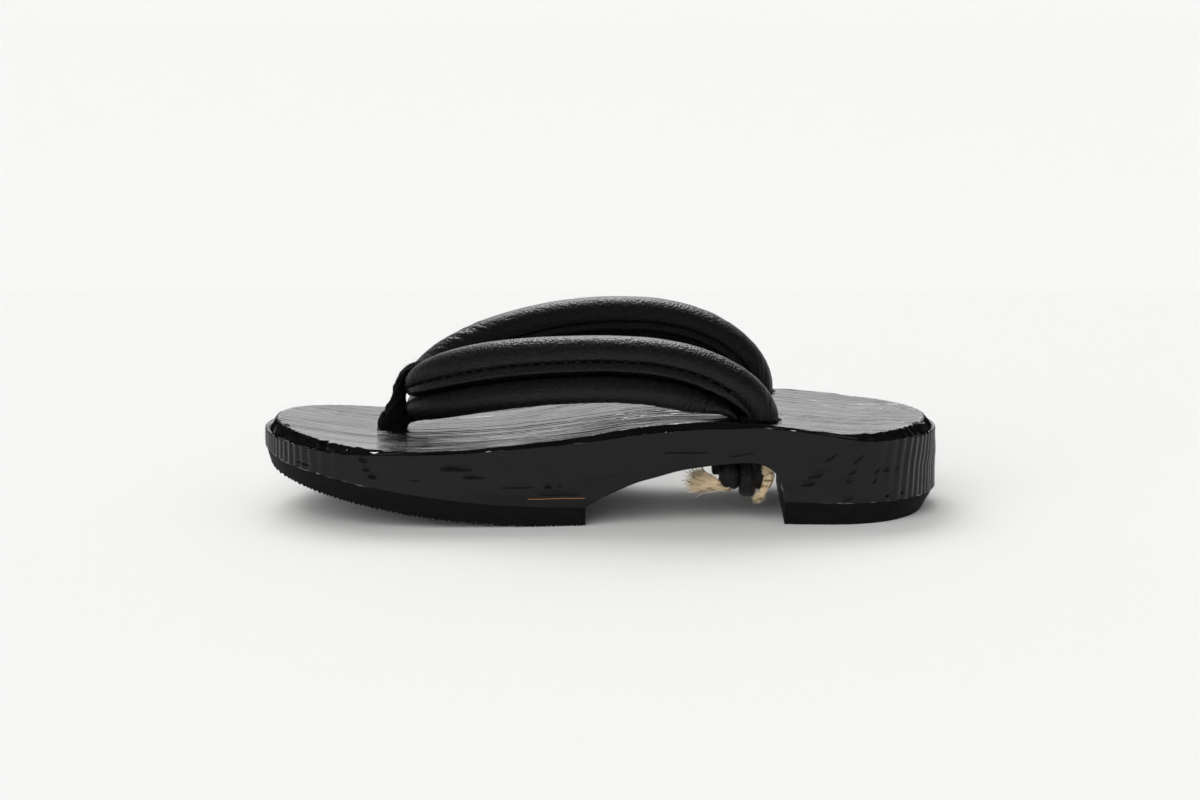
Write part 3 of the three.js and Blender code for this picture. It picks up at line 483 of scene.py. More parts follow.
def toward_ends(points):
    """1 at the outer side of the toe and heel, falling to 0 at the waist and to 0.2 at the inner side"""
    return np.clip(np.abs(points[:, 0]) / 30 - 1.6, 0, 1) * np.clip(0.2 - (points[:, 1] + 4) / 16, 0.2, 1)


def ring_relief(points, facing, spacing, relief):
    """Height of the brushed growth rings: thin furrows on top, broad ribs round the ends"""
    ring, part = rings_at(points, spacing)
    dice = np.random.default_rng(11)
    strength = 0.1 + 0.7 * dice.uniform(0, 1, 256)[ring] ** 4
    middle = dice.uniform(0.36, 0.64, 256)[ring]
    furrow = -np.exp(-((part - middle) / 0.13) ** 2)
    rib = 0.5 - 0.5 * np.cos(2 * np.pi * part) + 0.18 * furrow
    level = facing[:, 2] ** 2
    gouged = 1 + (2 + 11 * toward_ends(points)) * level * (1 - level)
    on_top = 1.3 * strength * furrow
    on_wall = 1.7 * gouged * (0.75 + 0.4 * strength) * rib
    return relief * (level * on_top + (1 - level) * on_wall)


def hollow_depth(points, facing):
    """Depth of the hollows in the outer wall: each slopes in from below and ends in a steep upper lip"""
    depth = np.zeros(len(points))
    for row in zip(*WALL_HOLLOWS.values()):
        x, z, long, turn, high, deep = row
        turn = math.radians(turn)
        dx, dz = points[:, 0] - x, points[:, 2] - z
        along = (dx * math.cos(turn) + dz * math.sin(turn)) / (0.56 * long)
        across = (dz * math.cos(turn) - dx * math.sin(turn)) / (0.8 * high)
        rise = np.clip((across + 1.2) / 1.7, 0, 1) ** 1.5 * np.clip((1.2 - across) / 0.8, 0, 1) ** 0.8
        depth += deep * rise * np.clip(1 - along ** 2, 0, 1)
    depth *= 1 + 0.5 * noise(points, (2.5, 2.5, 1.6), 10)
    return HOLLOW_DEPTH * depth * (points[:, 1] < 0) * np.clip(1 - 3 * np.abs(facing[:, 2]), 0, 1)


def wall_waves(points, facing):
    """Slow waves that carving leaves in the walls"""
    wave = 0.26 * noise(points, (30, 30, 8), 8) + 0.05 * noise(points, (16, 16, 1.8), 9)
    return wave * (1 - np.abs(facing[:, 2])) ** 2


# Colours and materials

# The line of bare wood, in millimetres, on the outer wall above the front tread
BARE_LINE = dict(x=-15.8, half_length=10.1, z=10.3, half_height=0.1, sway=0.3, side=-30)


def linear(hex_colour):
    """Linear colour from an sRGB hex value"""
    parts = [int(hex_colour[i:i + 2], 16) / 255 for i in (0, 2, 4)]
    return tuple(c / 12.92 if c <= 0.04045 else ((c + 0.055) / 1.055) ** 2.4 for c in parts)


def colour(value):
    """Colour with an alpha of 1"""
    return (*tuple(value)[:3], 1.0)


def shade(value, factor):
    """Colour made darker or lighter"""
    return tuple(min(1, c * factor) for c in value)


def plug(tree, target, inputs):
    """Sets a node's inputs to values, or links them to other nodes' sockets"""
    for key, value in inputs.items():
        if isinstance(value, bpy.types.NodeSocket):
            tree.links.new(value, target.inputs[key])
        else:
            target.inputs[key].default_value = value


def node(tree, kind, inputs=None, **settings):
    """Adds a node with its settings; inputs are values or sockets, by name or number"""
    made = tree.nodes.new(kind)
    for key, value in settings.items():
        setattr(made, key, value)
    plug(tree, made, inputs or {})
    return made


def new_material(name):
    """Empty material: itself, its node tree, its surface and its object coordinates"""
    material = bpy.data.materials.new(name)
    material.use_nodes = True
    tree = material.node_tree
    tree.nodes.clear()
    surface = tree.nodes.new("ShaderNodeBsdfPrincipled")
    out = tree.nodes.new("ShaderNodeOutputMaterial")
    tree.links.new(surface.outputs["BSDF"], out.inputs["Surface"])
    place = tree.nodes.new("ShaderNodeTexCoord").outputs["Object"]
    return material, tree, surface, place


def stretched(tree, place, sizes_mm):
    """Object coordinates divided by real sizes, so that a texture of scale 1 has that spacing"""
    scale = tuple(1 / (size * MM) for size in sizes_mm)
    return node(tree, "ShaderNodeMapping", {"Vector": place, "Scale": scale}).outputs["Vector"]


def ramp(tree, factor, *stops):
    """Colour ramp between stops of (position, grey or colour)"""
    made = node(tree, "ShaderNodeValToRGB", {"Fac": factor})
    elements = made.color_ramp.elements
    while len(elements) < len(stops):
        elements.new(0.5)
    for element, (position, value) in zip(elements, stops):
        element.position = position
        element.color = colour(value) if hasattr(value, "__len__") else (value, value, value, 1)
    return made.outputs["Color"]


def lacquered_cedar(settings):
    """Cedar, brushed along the grain and lacquered black: a mirror gloss broken up by fine lines"""
    material, tree, surface, place = new_material("lacquered_cedar_brushed")
    # Brush lines 0.5 mm apart, finer than the growth rings that the mesh carries
    lines = node(tree, "ShaderNodeTexNoise", {
        "Vector": stretched(tree, place, (60, 0.55, 14)), "Scale": 1.0, "Detail": 3.0, "Roughness": 0.6,
    }).outputs["Fac"]
    dust = node(tree, "ShaderNodeTexNoise", {
        "Vector": stretched(tree, place, (30, 3, 6)), "Scale": 1.0, "Detail": 4.0,
    }).outputs["Fac"]
    bump = node(tree, "ShaderNodeBump", {"Height": lines, "Strength": 0.5, "Distance": 0.00004})
    # Thin dark cracks between the rings, 3.2 mm apart on average, and finer ones 1.3 mm apart. A wave
    # texture has a band every 0.314 of its size, so the sizes are 10.2 and 4.1 mm
    cracks = []
    for size, sway, edge in ((10.2, 7.0, 0.06), (4.1, 5.0, 0.1)):
        bands = node(tree, "ShaderNodeTexWave", {
            "Vector": stretched(tree, place, (13 * size, size, 13 * size)), "Scale": 1.0,
            "Distortion": sway, "Detail": 0.0}, bands_direction="Y").outputs["Fac"]
        cracks.append(ramp(tree, bands, (0.0, 0.0), (edge, 1.0)))
    cracks = node(tree, "ShaderNodeMath", {0: cracks[1], 1: 0.12, 2: cracks[0]},
                  operation="MULTIPLY_ADD").outputs[0]
    normal = node(tree, "ShaderNodeTexCoord").outputs["Normal"]
    facing = node(tree, "ShaderNodeSeparateXYZ", {"Vector": normal})
    on_top = node(tree, "ShaderNodeMapRange", {
        "Value": facing.outputs["Z"], "From Min": 0.85, "From Max": 0.95}).outputs["Result"]
    cracks = node(tree, "ShaderNodeMath", {0: cracks, 1: on_top}, operation="MULTIPLY").outputs[0]
    bump = node(tree, "ShaderNodeBump", {
        "Height": cracks, "Strength": 1.0, "Distance": 0.00028, "Normal": bump.outputs["Normal"]})
    # Bare cedar shows in one thin line over the front tread, where the lacquer missed a split
    axes = node(tree, "ShaderNodeSeparateXYZ", {"Vector": place})
    wobble = node(tree, "ShaderNodeTexNoise", {
        "Vector": stretched(tree, place, (6, 6, 6)), "Scale": 1.0}).outputs["Fac"]
    height = node(tree, "ShaderNodeMath", {0: wobble, 1: BARE_LINE["sway"] * MM, 2: BARE_LINE["z"] * MM},
                  operation="MULTIPLY_ADD").outputs[0]
    off, along = (node(tree, "ShaderNodeMath", {0: axes.outputs[axis], 1: middle, 2: BARE_LINE[reach] * MM},
                       operation="COMPARE").outputs[0]
                  for axis, middle, reach in (("Z", height, "half_height"),
                                              ("X", BARE_LINE["x"] * MM, "half_length")))
    bare = node(tree, "ShaderNodeMath", {0: axes.outputs["Y"], 1: BARE_LINE["side"] * MM},
                operation="LESS_THAN").outputs[0]
    for limit in (off, along):
        bare = node(tree, "ShaderNodeMath", {0: limit, 1: bare}, operation="MULTIPLY").outputs[0]
    black = ramp(tree, dust, (0.3, shade(settings.lacquer_colour, 0.8)),
                 (0.75, shade(settings.lacquer_colour, 1.25)))
    mixed = node(tree, "ShaderNodeMix", {"Factor": bare, 6: black, 7: colour(linear("8c5f41"))},
                 data_type="RGBA").outputs[2]
    gloss = ramp(tree, dust, (0.25, 0.05), (0.8, 0.09))
    rough = node(tree, "ShaderNodeMath", {0: gloss, 1: bare}, operation="MAXIMUM").outputs[0]
    plug(tree, surface, {"Base Color": mixed, "Roughness": rough, "Normal": bump.outputs["Normal"],
                         "IOR": 1.31})
    return material


def pebbled_leather(settings):
    """Full-grain leather, dyed black and finished semi-matt: a soft sheen over pebbled grain"""
    material, tree, surface, place = new_material("leather_full_grain_black")
    # Pebbles of about 0.6 mm, with pores and fine cracks between them
    bend = node(tree, "ShaderNodeTexNoise", {
        "Vector": stretched(tree, place, (3, 3, 3)), "Scale": 1.0, "Detail": 2.0}).outputs["Color"]
    pebbles = stretched(tree, place, (settings.pebble_size / MM,) * 3)
    warped = node(tree, "ShaderNodeMix", {"Factor": 0.35, 4: pebbles, 5: bend},
                  data_type="VECTOR").outputs[1]
    pebble = node(tree, "ShaderNodeTexVoronoi", {"Vector": warped, "Scale": 1.0, "Smoothness": 0.4},
                  feature="SMOOTH_F1").outputs["Distance"]
    pores = node(tree, "ShaderNodeTexNoise", {
        "Vector": stretched(tree, place, (0.35, 0.35, 0.35)), "Scale": 1.0, "Detail": 3.0}).outputs["Fac"]
    creases = node(tree, "ShaderNodeTexNoise", {
        "Vector": stretched(tree, place, (3.5, 3.5, 3.5)), "Scale": 1.0, "Detail": 4.0, "Distortion": 1.2,
    }).outputs["Fac"]
    # Fine upright pleats where the arms bend down to the base. Through the tone below, they also paint shade
    # there
    axes = node(tree, "ShaderNodeSeparateXYZ", {"Vector": place})
    bend_in = node(tree, "ShaderNodeMapRange", {
        "Value": axes.outputs["X"], "From Min": 0.008, "From Max": 0.028}).outputs["Result"]
    low_down = node(tree, "ShaderNodeMapRange", {
        "Value": axes.outputs["Z"], "From Min": 0.049, "From Max": 0.044}).outputs["Result"]
    bend_in = node(tree, "ShaderNodeMath", {0: bend_in, 1: low_down}, operation="MULTIPLY").outputs[0]
    pleats = node(tree, "ShaderNodeTexNoise", {
        "Vector": stretched(tree, place, (0.95, 14, 9)), "Scale": 1.0, "Detail": 1.0}).outputs["Fac"]
    pleats = node(tree, "ShaderNodeMath", {0: pleats, 1: bend_in}, operation="MULTIPLY").outputs[0]
    pebble = node(tree, "ShaderNodeMath", {0: pleats, 1: 5.0, 2: pebble},
                  operation="MULTIPLY_ADD").outputs[0]
    # The hide's own grain runs aslant
    turned = node(tree, "ShaderNodeMapping", {"Vector": place, "Rotation": (0, math.radians(40), 0)})
    grain = node(tree, "ShaderNodeTexNoise", {
        "Vector": stretched(tree, turned.outputs["Vector"], (3.2, 3.2, 0.55)), "Scale": 1.0, "Detail": 2.0,
    }).outputs["Fac"]
    relief = pebble
    for layer, weight in ((pores, 0.3), (creases, 0.12), (grain, 0.9)):
        relief = node(tree, "ShaderNodeMath", {0: layer, 1: weight, 2: relief},
                      operation="MULTIPLY_ADD").outputs[0]
    bump = node(tree, "ShaderNodeBump", {"Height": relief, "Strength": 0.8, "Distance": 0.00026}, invert=True)
    # Painted shade: the tone darkens where the pebbles' edges and the pleats sink in, so the hollows between
    # pebbles and the arms' low pleated bends are painted darker
    tone = ramp(tree, pebble, (0.15, shade(settings.leather_colour, 1.2)),
                (0.8, shade(settings.leather_colour, 0.6)))
    rough = ramp(tree, creases, (0.3, 0.4), (0.75, 0.5))
    plug(tree, surface, {"Base Color": tone, "Roughness": rough, "Normal": bump.outputs["Normal"],
                         "IOR": 1.34})
    return material


def twisted_cloth(settings):
    """Cotton cloth, dyed black, rolled and twisted: no gloss, with a faint nap where it curves away"""
    material, tree, surface, place = new_material("cotton_cloth_twisted_black")
    weave = node(tree, "ShaderNodeTexWave", {
        "Vector": stretched(tree, place, (0.6, 0.6, 0.6)), "Scale": 0.5, "Distortion": 3.0, "Detail": 2.0,
    }, wave_type="BANDS", bands_direction="DIAGONAL").outputs["Fac"]
    nap = node(tree, "ShaderNodeTexNoise", {
        "Vector": stretched(tree, place, (0.4, 0.4, 0.4)), "Scale": 1.0, "Detail": 4.0}).outputs["Fac"]
    both = node(tree, "ShaderNodeMath", {0: nap, 1: weave}, operation="ADD").outputs[0]
    bump = node(tree, "ShaderNodeBump", {"Height": both, "Strength": 0.9, "Distance": 0.0003})
    tone = ramp(tree, nap, (0.3, shade(settings.cloth_colour, 0.7)),
                (0.75, shade(settings.cloth_colour, 1.6)))
    plug(tree, surface, {"Base Color": tone, "Normal": bump.outputs["Normal"], "Roughness": 0.95,
                         "Sheen Weight": 0.012, "Specular IOR Level": 0.06})
    return material


def foam_rubber(settings):
    """EVA foam rubber, moulded in sheet and cut: a dull black with fine cells in its cut edges"""
    material, tree, surface, place = new_material("foam_rubber_cut_sheet")
    cells = node(tree, "ShaderNodeTexVoronoi", {
        "Vector": stretched(tree, place, (0.5, 0.5, 0.5)), "Scale": 1.0}).outputs["Distance"]
    scuffs = node(tree, "ShaderNodeTexNoise", {
        "Vector": stretched(tree, place, (9, 9, 2.5)), "Scale": 1.0, "Detail": 5.0}).outputs["Fac"]
    both = node(tree, "ShaderNodeMath", {0: scuffs, 1: 0.6, 2: cells}, operation="MULTIPLY_ADD").outputs[0]
    bump = node(tree, "ShaderNodeBump", {"Height": both, "Strength": 0.8, "Distance": 0.00035})
    tone = ramp(tree, scuffs, (0.3, shade(settings.rubber_colour, 0.8)),
                (0.7, shade(settings.rubber_colour, 1.3)))
    plug(tree, surface, {"Base Color": tone, "Normal": bump.outputs["Normal"], "Roughness": 0.72,
                         "Specular IOR Level": 0.14})
    return material


def frayed_jute(settings):
    """Jute, twisted into cord and frayed: pale straw fibres, some bleached and some brown"""
    material, tree, surface, place = new_material("jute_cord_frayed")
    fibre = node(tree, "ShaderNodeTexNoise", {
        "Vector": stretched(tree, place, (4.5, 1.6, 1.1)), "Scale": 1.0, "Detail": 3.0}).outputs["Fac"]
    tone = ramp(tree, fibre, (0.34, linear("6f5a40")), (0.47, settings.jute_colour),
                (0.62, shade(settings.jute_colour, 1.25)))
    bump = node(tree, "ShaderNodeBump", {"Height": fibre, "Strength": 0.5, "Distance": 0.0001})
    plug(tree, surface, {"Base Color": tone, "Normal": bump.outputs["Normal"], "Roughness": 0.85})
    return material


def waxed_thread(settings):
    """Polyester thread, plied and waxed: black with a faint shine on each stitch"""
    material, tree, surface, place = new_material("polyester_thread_waxed")
    plies = node(tree, "ShaderNodeTexWave", {
        "Vector": stretched(tree, place, (0.35, 0.35, 0.35)), "Scale": 0.5, "Distortion": 0.5,
    }, bands_direction="DIAGONAL").outputs["Fac"]
    bump = node(tree, "ShaderNodeBump", {"Height": plies, "Strength": 0.6, "Distance": 0.00008})
    tone = ramp(tree, plies, (0.2, linear("010101")), (0.8, linear("040404")))
    plug(tree, surface, {"Base Color": tone, "Normal": bump.outputs["Normal"], "Roughness": 0.6,
                         "Specular IOR Level": 0.05})
    return material


def dried_glue(settings):
    """Contact glue, squeezed out of the joint and dried: greyish beads with a soft shine"""
    material, tree, surface, place = new_material("contact_glue_dried")
    cloud = node(tree, "ShaderNodeTexNoise", {
        "Vector": stretched(tree, place, (3, 3, 1)), "Scale": 1.0, "Detail": 4.0}).outputs["Fac"]
    tone = ramp(tree, cloud, (0.42, linear("141414")), (0.6, linear("7d7d7c")))
    plug(tree, surface, {"Base Color": tone, "Roughness": 0.4})
    return material


def matt_paper(settings):
    """Background paper, matt and unprinted: an even pale grey with a barely visible tooth"""
    material, tree, surface, place = new_material("background_paper_matt")
    tooth = node(tree, "ShaderNodeTexNoise", {
        "Vector": stretched(tree, place, (1.5, 1.5, 1.5)), "Scale": 1.0, "Detail": 2.0}).outputs["Fac"]
    axes = node(tree, "ShaderNodeSeparateXYZ", {"Vector": place})
    # The paper is a shade lighter from 0.475 m behind the sandal onwards
    far = node(tree, "ShaderNodeMapRange", {
        "Value": axes.outputs["Y"], "From Min": 0.465, "From Max": 0.485}).outputs["Result"]
    near_tone = ramp(tree, tooth, (0.3, shade(settings.paper_colour, 0.995)), (0.7, settings.paper_colour))
    tone = node(tree, "ShaderNodeMix", {
        "Factor": far, 6: near_tone, 7: colour(shade(settings.paper_colour, 1.02))},
        data_type="RGBA").outputs[2]
    plug(tree, surface, {"Base Color": tone, "Roughness": 0.9, "Specular IOR Level": 0.1})
    return material


MATERIALS = {}


def material_for(make, settings):
    """One material of each kind, made when it is first asked for"""
    if make.__name__ not in MATERIALS:
        MATERIALS[make.__name__] = make(settings)
    return MATERIALS[make.__name__]


# Pieces

def wood_blank(settings):
    """Uncut base with its bevel and grain: rings down the wall, and a lattice over the footbed"""
    points, spine, outward = plan_outline(END_STEP, SIDE_STEP)
    # The rings notch the bevel's upper edge wherever they run out through it
    edge3 = np.column_stack([points, footbed(*points.T)])
    ring, part = rings_at(edge3, settings.grain_spacing / MM)
    notch = np.random.default_rng(12).uniform(*NOTCH_SHARES, 256)[ring] * np.cos(2 * np.pi * part)
    notch *= toward_ends(points)
    plain = bevel_width(points[:, 0])
    width = plain * (1 - notch)
    reach = np.hypot(points[:, 0] - spine, points[:, 1])

    def inset(share):
        scale = 1 - share * width / reach
        return np.stack([spine + (points[:, 0] - spine) * scale, points[:, 1] * scale], 1)

    rings, facings = [], []
    foot = footbed(points[:, 0], points[:, 1]) - BEVEL_FORM["drop"][0] * plain
    low = underside(points[:, 0]) - 1.2
    for t in np.linspace(1, 0, WALL_ROWS):
        rings.append(np.column_stack([points, foot + (low - foot) * t]))
        facings.append(np.column_stack([outward, np.zeros(len(points))]))
    deep, long = BEVEL_GOUGES
    # Hard and soft rings wear differently, so that the bevel bends now near its top, now near its foot
    worn = toward_ends(points)
    bite = np.exp(-BEVEL_BITE * np.cos(2 * np.pi * part) * worn)
    flat3 = np.column_stack([points, 0 * width])
    gouges = noise(flat3, (long, long, 1), 6) + 0.5 * noise(flat3, (0.4 * long, 0.4 * long, 1), 7)
    for share, drop, rise in zip(*(BEVEL_FORM[key][1:] for key in ("inset", "drop", "rise"))):
        flat = inset(share)
        drop = drop ** bite + deep * worn * gouges * 3 * share * (1 - share) ** 2
        depth = plain + (width - plain) * share
        rings.append(np.column_stack([flat, footbed(*flat.T) - drop * depth]))
        turn = math.radians(rise)
        facings.append(np.column_stack([outward * math.cos(turn), np.full(len(points), math.sin(turn))]))
    edge = inset(1.0)
    around = len(points)
    rings.append(np.column_stack([edge, footbed(*edge.T)]))
    facings.append(np.tile([0.0, 0.0, 1.0], (around, 1)))
    rows = len(rings)
    shell, facing = np.concatenate(rings), np.concatenate(facings)

    xs = np.arange(-LENGTH / 2 + 4, LENGTH / 2 - 3.5, TOP_CELL[0])
    ys = np.arange(-44, 44.5, TOP_CELL[1])
    gx, gy = (g.ravel() for g in np.meshgrid(xs, ys, indexing="ij"))
    outer = edge[edge[:, 1] < 0]
    inner = edge[edge[:, 1] >= 0]
    outer, inner = outer[np.argsort(outer[:, 0])], inner[np.argsort(inner[:, 0])]
    clear = 0.3
    inside = (gy > np.interp(gx, *outer.T) + clear) & (gy < np.interp(gx, *inner.T) - clear)
    inside &= (gx > edge[:, 0].min() + clear) & (gx < edge[:, 0].max() - clear)
    lattice = np.stack([gx[inside], gy[inside]], 1)
    flat = [Vector(p) for p in np.concatenate([edge, lattice])]
    verts, _, faces, came_from, _, _ = geometry.delaunay_2d_cdt(flat, [], [list(range(around))], 1, 1e-5)
    top_start = (rows - 1) * around
    number = {}
    for new, sources in enumerate(came_from):
        number[new] = sources[0] + top_start if sources else None
    top = [[number[i] for i in face] for face in faces if len(face) == 3]
    if any(i is None for face in top for i in face):
        raise RuntimeError("the footbed's lattice did not keep its points")
    lattice3 = np.column_stack([lattice, footbed(*lattice.T)])
    everything = np.concatenate([shell, lattice3])
    facing = np.concatenate([facing, np.tile([0.0, 0.0, 1.0], (len(lattice3), 1))])
    relief = ring_relief(everything, facing, settings.grain_spacing / MM, settings.grain_relief / MM)
    relief += wall_waves(everything, facing) - hollow_depth(everything, facing)
    everything = everything + facing * relief[:, None]

    r, i = np.meshgrid(np.arange(rows - 1), np.arange(around), indexing="ij")
    a, b = (r * around + i).ravel(), (r * around + (i + 1) % around).ravel()
    quads = np.stack([a, b, b + around, a + around], 1)
    bottom = len(everything)
    everything = np.concatenate([everything, [[-20.0, 0.0, 3.0]]])
    k = np.arange(around)
    base = np.stack([np.full(around, bottom), (k + 1) % around, k], 1)
    return everything, quads, np.concatenate([np.array(top), base])


def prism(name, outline_xz, reach):
    """Block with an outline in X and Z, running across the whole base"""
    rings = np.stack([np.column_stack([outline_xz[:, 0], np.full(len(outline_xz), y), outline_xz[:, 1]])
                      for y in (-reach, reach)])
    return make_piece(name, *loft(rings))


def post(name, hole, high):
    """Round cutter for a hole or a recess, from below the base up to a height"""
    x, y, radius = hole
    angle = np.linspace(0, 2 * np.pi, 64, endpoint=False)
    ring = np.column_stack([x + radius * np.cos(angle), y + radius * np.sin(angle), np.zeros(64)])
    rings = np.stack([ring + (0, 0, -10), ring + (0, 0, high)])
    return make_piece(name, *loft(rings))


def underside_outline():
    """Outline, from the side, of everything below the wood"""
    reach = LENGTH / 2 + 3.5
    sweep = np.linspace(0, len(ARCH["x"]) - 1, 90)
    index = np.arange(len(ARCH["x"]))
    arch = np.column_stack([smooth_through(index, ARCH[key], sweep) for key in ("x", "z")])
    front = np.linspace(-reach, ARCH["x"][0], 60)[:-1]
    fore = np.column_stack([front, forefoot_join(front)])
    rear = np.array([[HEEL_FRONT_X, HEEL_JOIN], [reach, HEEL_JOIN_REAR], [reach, -10], [-reach, -10]])
    return np.concatenate([fore, arch[:-1], rear])


def smooth_through(at, value, where):
    """Catmull-Rom curve through evenly spaced values"""
    padded = np.concatenate([[2 * value[0] - value[1]], value, [2 * value[-1] - value[-2]]])
    i = np.clip(np.floor(where).astype(int), 0, len(value) - 2)
    t = where - i
    p0, p1, p2, p3 = (padded[i + k] for k in range(4))
    return 0.5 * (2 * p1 + (p2 - p0) * t + (2 * p0 - 5 * p1 + 4 * p2 - p3) * t ** 2
                  + (3 * p1 - p0 - 3 * p2 + p3) * t ** 3)


def build_wood_base(settings):
    """Wooden base with its underside, holes and recess cut out"""
    points, quads, tris = wood_blank(settings)
    base = make_piece("base_wood", points, quads, tris)
    cut_away(base, [
        prism("cut_underside", underside_outline(), 60),
        post("cut_toe_hole", TOE_HOLE, 50),
        post("cut_toe_recess", TOE_RECESS, TOE_RECESS_TOP),
        post("cut_outer_hole", OUTER_HOLE, 50),
        post("cut_inner_hole", INNER_HOLE, 50),
    ])
    soften(base, 42)
    finish_piece(base, material_for(lacquered_cedar, settings), "lacquered_wood", "wood_base")


def tread_rings(stations, top, bottom, undercut, sides):
    """Cross-sections of a tread slab, with eased lower edges"""
    outer = np.maximum(half_width(stations, -1), 0.5)
    inner = np.maximum(half_width(stations, 1), 0.5)
    rings = []
    for x, out, inn in zip(stations, outer, inner):
        shift = undercut(x)
        low = bottom(x + shift)
        high = top(x)
        depth = np.linspace(0, 1, sides)
        wall_y = 1 - TREAD_TAPER * depth
        wall_z = high + (low - high) * depth
        ease = 0.1 * np.clip(1 - (wall_z - low) / 0.4, 0, 1) ** 2
        across = np.linspace(-1, 1, 26)[1:-1] * (1 - TREAD_TAPER)
        left = np.column_stack([x + shift * depth, -out * wall_y + ease, wall_z])
        floor_y = np.where(across < 0, out, inn) * across
        under = np.column_stack([np.full(len(across), x + shift), floor_y, np.full(len(across), low)])
        right = np.column_stack([x + shift * depth, inn * wall_y - ease, wall_z])[::-1]
        rings.append(np.concatenate([left, under, right]))
    return np.array(rings)


def build_treads(settings):
    """Front tread with its ribbed underside, and heel tread"""
    rubber = material_for(foam_rubber, settings)
    rib = settings.tread_rib / MM
    # Stations crowd together where the outline rounds off
    nose = NOSE_RUN * (1 - np.cos(np.linspace(0, np.pi / 2, 44)))
    first = nose - LENGTH / 2
    stations = np.concatenate([first, np.arange(first[-1] + 0.36, ARCH["x"][0], 0.36), [ARCH["x"][0]]])

    def toe_undercut(x):
        return TOE_UNDERCUT * np.clip((TOE_CENTRE_X - x) / TOE_RADIUS, 0, 1) ** 2

    def ribbed(x):
        wave = math.sin(2 * math.pi * x / rib + 1.2 * math.sin(0.9 * x))
        return forefoot_ground(x) + RIB_DEPTH * (1 + wave)

    rings = tread_rings(stations, lambda x: forefoot_join(x) - JOINT_GAP, ribbed, toe_undercut, 9)
    jitter = noise(rings.reshape(-1, 3), (1.1, 1.1, 1.1), 21).reshape(rings.shape[:2])
    rings[:, :, 1] += CUT_RAGGED * jitter * np.sign(rings[:, :, 1])
    tread = make_piece("tread_front", *loft(rings))
    cut_away(tread, [post("cut_recess", TOE_RECESS, 40)])
    soften(tread, 50)
    finish_piece(tread, rubber, "rubber", "front_tread")

    tail = LENGTH / 2 - nose
    stations = np.concatenate([tail, np.arange(tail[-1] - 0.7, HEEL_FRONT_X, -0.7), [HEEL_FRONT_X]])[::-1]

    def heel_undercut(x):
        return -HEEL_UNDERCUT * np.clip((x - HEEL_CENTRE_X) / HEEL_RADIUS, 0, 1) ** 2

    rings = tread_rings(stations, lambda x: underside(x) - JOINT_GAP, lambda x: 0.0, heel_undercut, 12)
    jitter = noise(rings.reshape(-1, 3), (1.6, 1.6, 1.6), 22).reshape(rings.shape[:2])
    rings[:, :, 1] += CUT_RAGGED * jitter * np.sign(rings[:, :, 1])
    heel = make_piece("tread_heel", *loft(rings), sharp=50)
    finish_piece(heel, rubber, "rubber", "heel_tread")


def build_glue(settings):
    """Thin beads of glue squeezed out along the joints at the toe and the heel"""
    points, _, outward = plan_outline(0.5, 0.9)
    glue = material_for(dried_glue, settings)
    for name, keep, join in (("glue_toe", points[:, 0] < -72, forefoot_join),
                             ("glue_heel", points[:, 0] > 76, underside)):
        # The outline's numbering may start inside the bead; then its two parts change places
        run = np.flatnonzero(keep)
        gap = np.flatnonzero(np.diff(run) > 1)
        if len(gap):
            run = np.concatenate([run[gap[0] + 1:], run[:gap[0] + 1]])
        flat, out = points[run], outward[run]
        z = join(flat[:, 0])
        place = np.column_stack([flat, z])
        blobs = noise(place, (3.2, 3.2, 3.2), 31) + 0.4 * noise(place, (1, 1, 1), 32)
        size = 0.07 + 0.3 * np.clip(blobs, 0, 1)
        count = np.arange(len(run))
        size *= np.clip(np.minimum(count, count[::-1]) / 12, 0.2, 1)
        lift = 0.12 * noise(place, (5, 5, 5), 33)
        path = np.column_stack([flat + out * 0.02, z + lift])
        bead = make_piece(name, *tube(path, size, 6))
        finish_piece(bead, glue, "rubber")


def strap_frames(count):
    """Evenly spaced sections of the strap: middle, two axes, its scales, furrow and distance run"""
    order = np.arange(len(STRAP["x"]), dtype=float)
    rows = {**STRAP, "order": order}
    at = {key: curve(rows, key, "order") for key in STRAP}
    fine = np.linspace(0, order[-1], 3000)
    middle = np.column_stack([at[key](fine) for key in ("x", "y", "z")])
    place, length = evenly(middle, count)
    s = np.interp(place, np.arange(len(fine)), fine)
    value = {key: smoothed(at[key](s), 7) for key in at}
    face, lean, tilt = (np.radians(value[key]) for key in ("face", "lean", "tilt"))
    zero = np.zeros(count)
    out = np.column_stack([np.cos(face), np.sin(face), zero])
    side = np.clip((value["face"] - 180) / 15, -1, 1)
    back = np.column_stack([-out[:, 1] * side, out[:, 0] * side, zero])
    up = np.column_stack([zero, zero, np.cos(tilt)]) + back * np.sin(tilt)[:, None]
    u = up * np.cos(lean)[:, None] - out * np.sin(lean)[:, None]
    v = out * np.cos(lean)[:, None] + up * np.sin(lean)[:, None]
    return dict(
        middle=np.column_stack([value[key] for key in ("x", "y", "z")]), u=u, v=v,
        across=value["width"] / STRAP_WIDTH, full=value["full"], groove=value["groove"],
        run=np.linspace(0, length, count),
    )


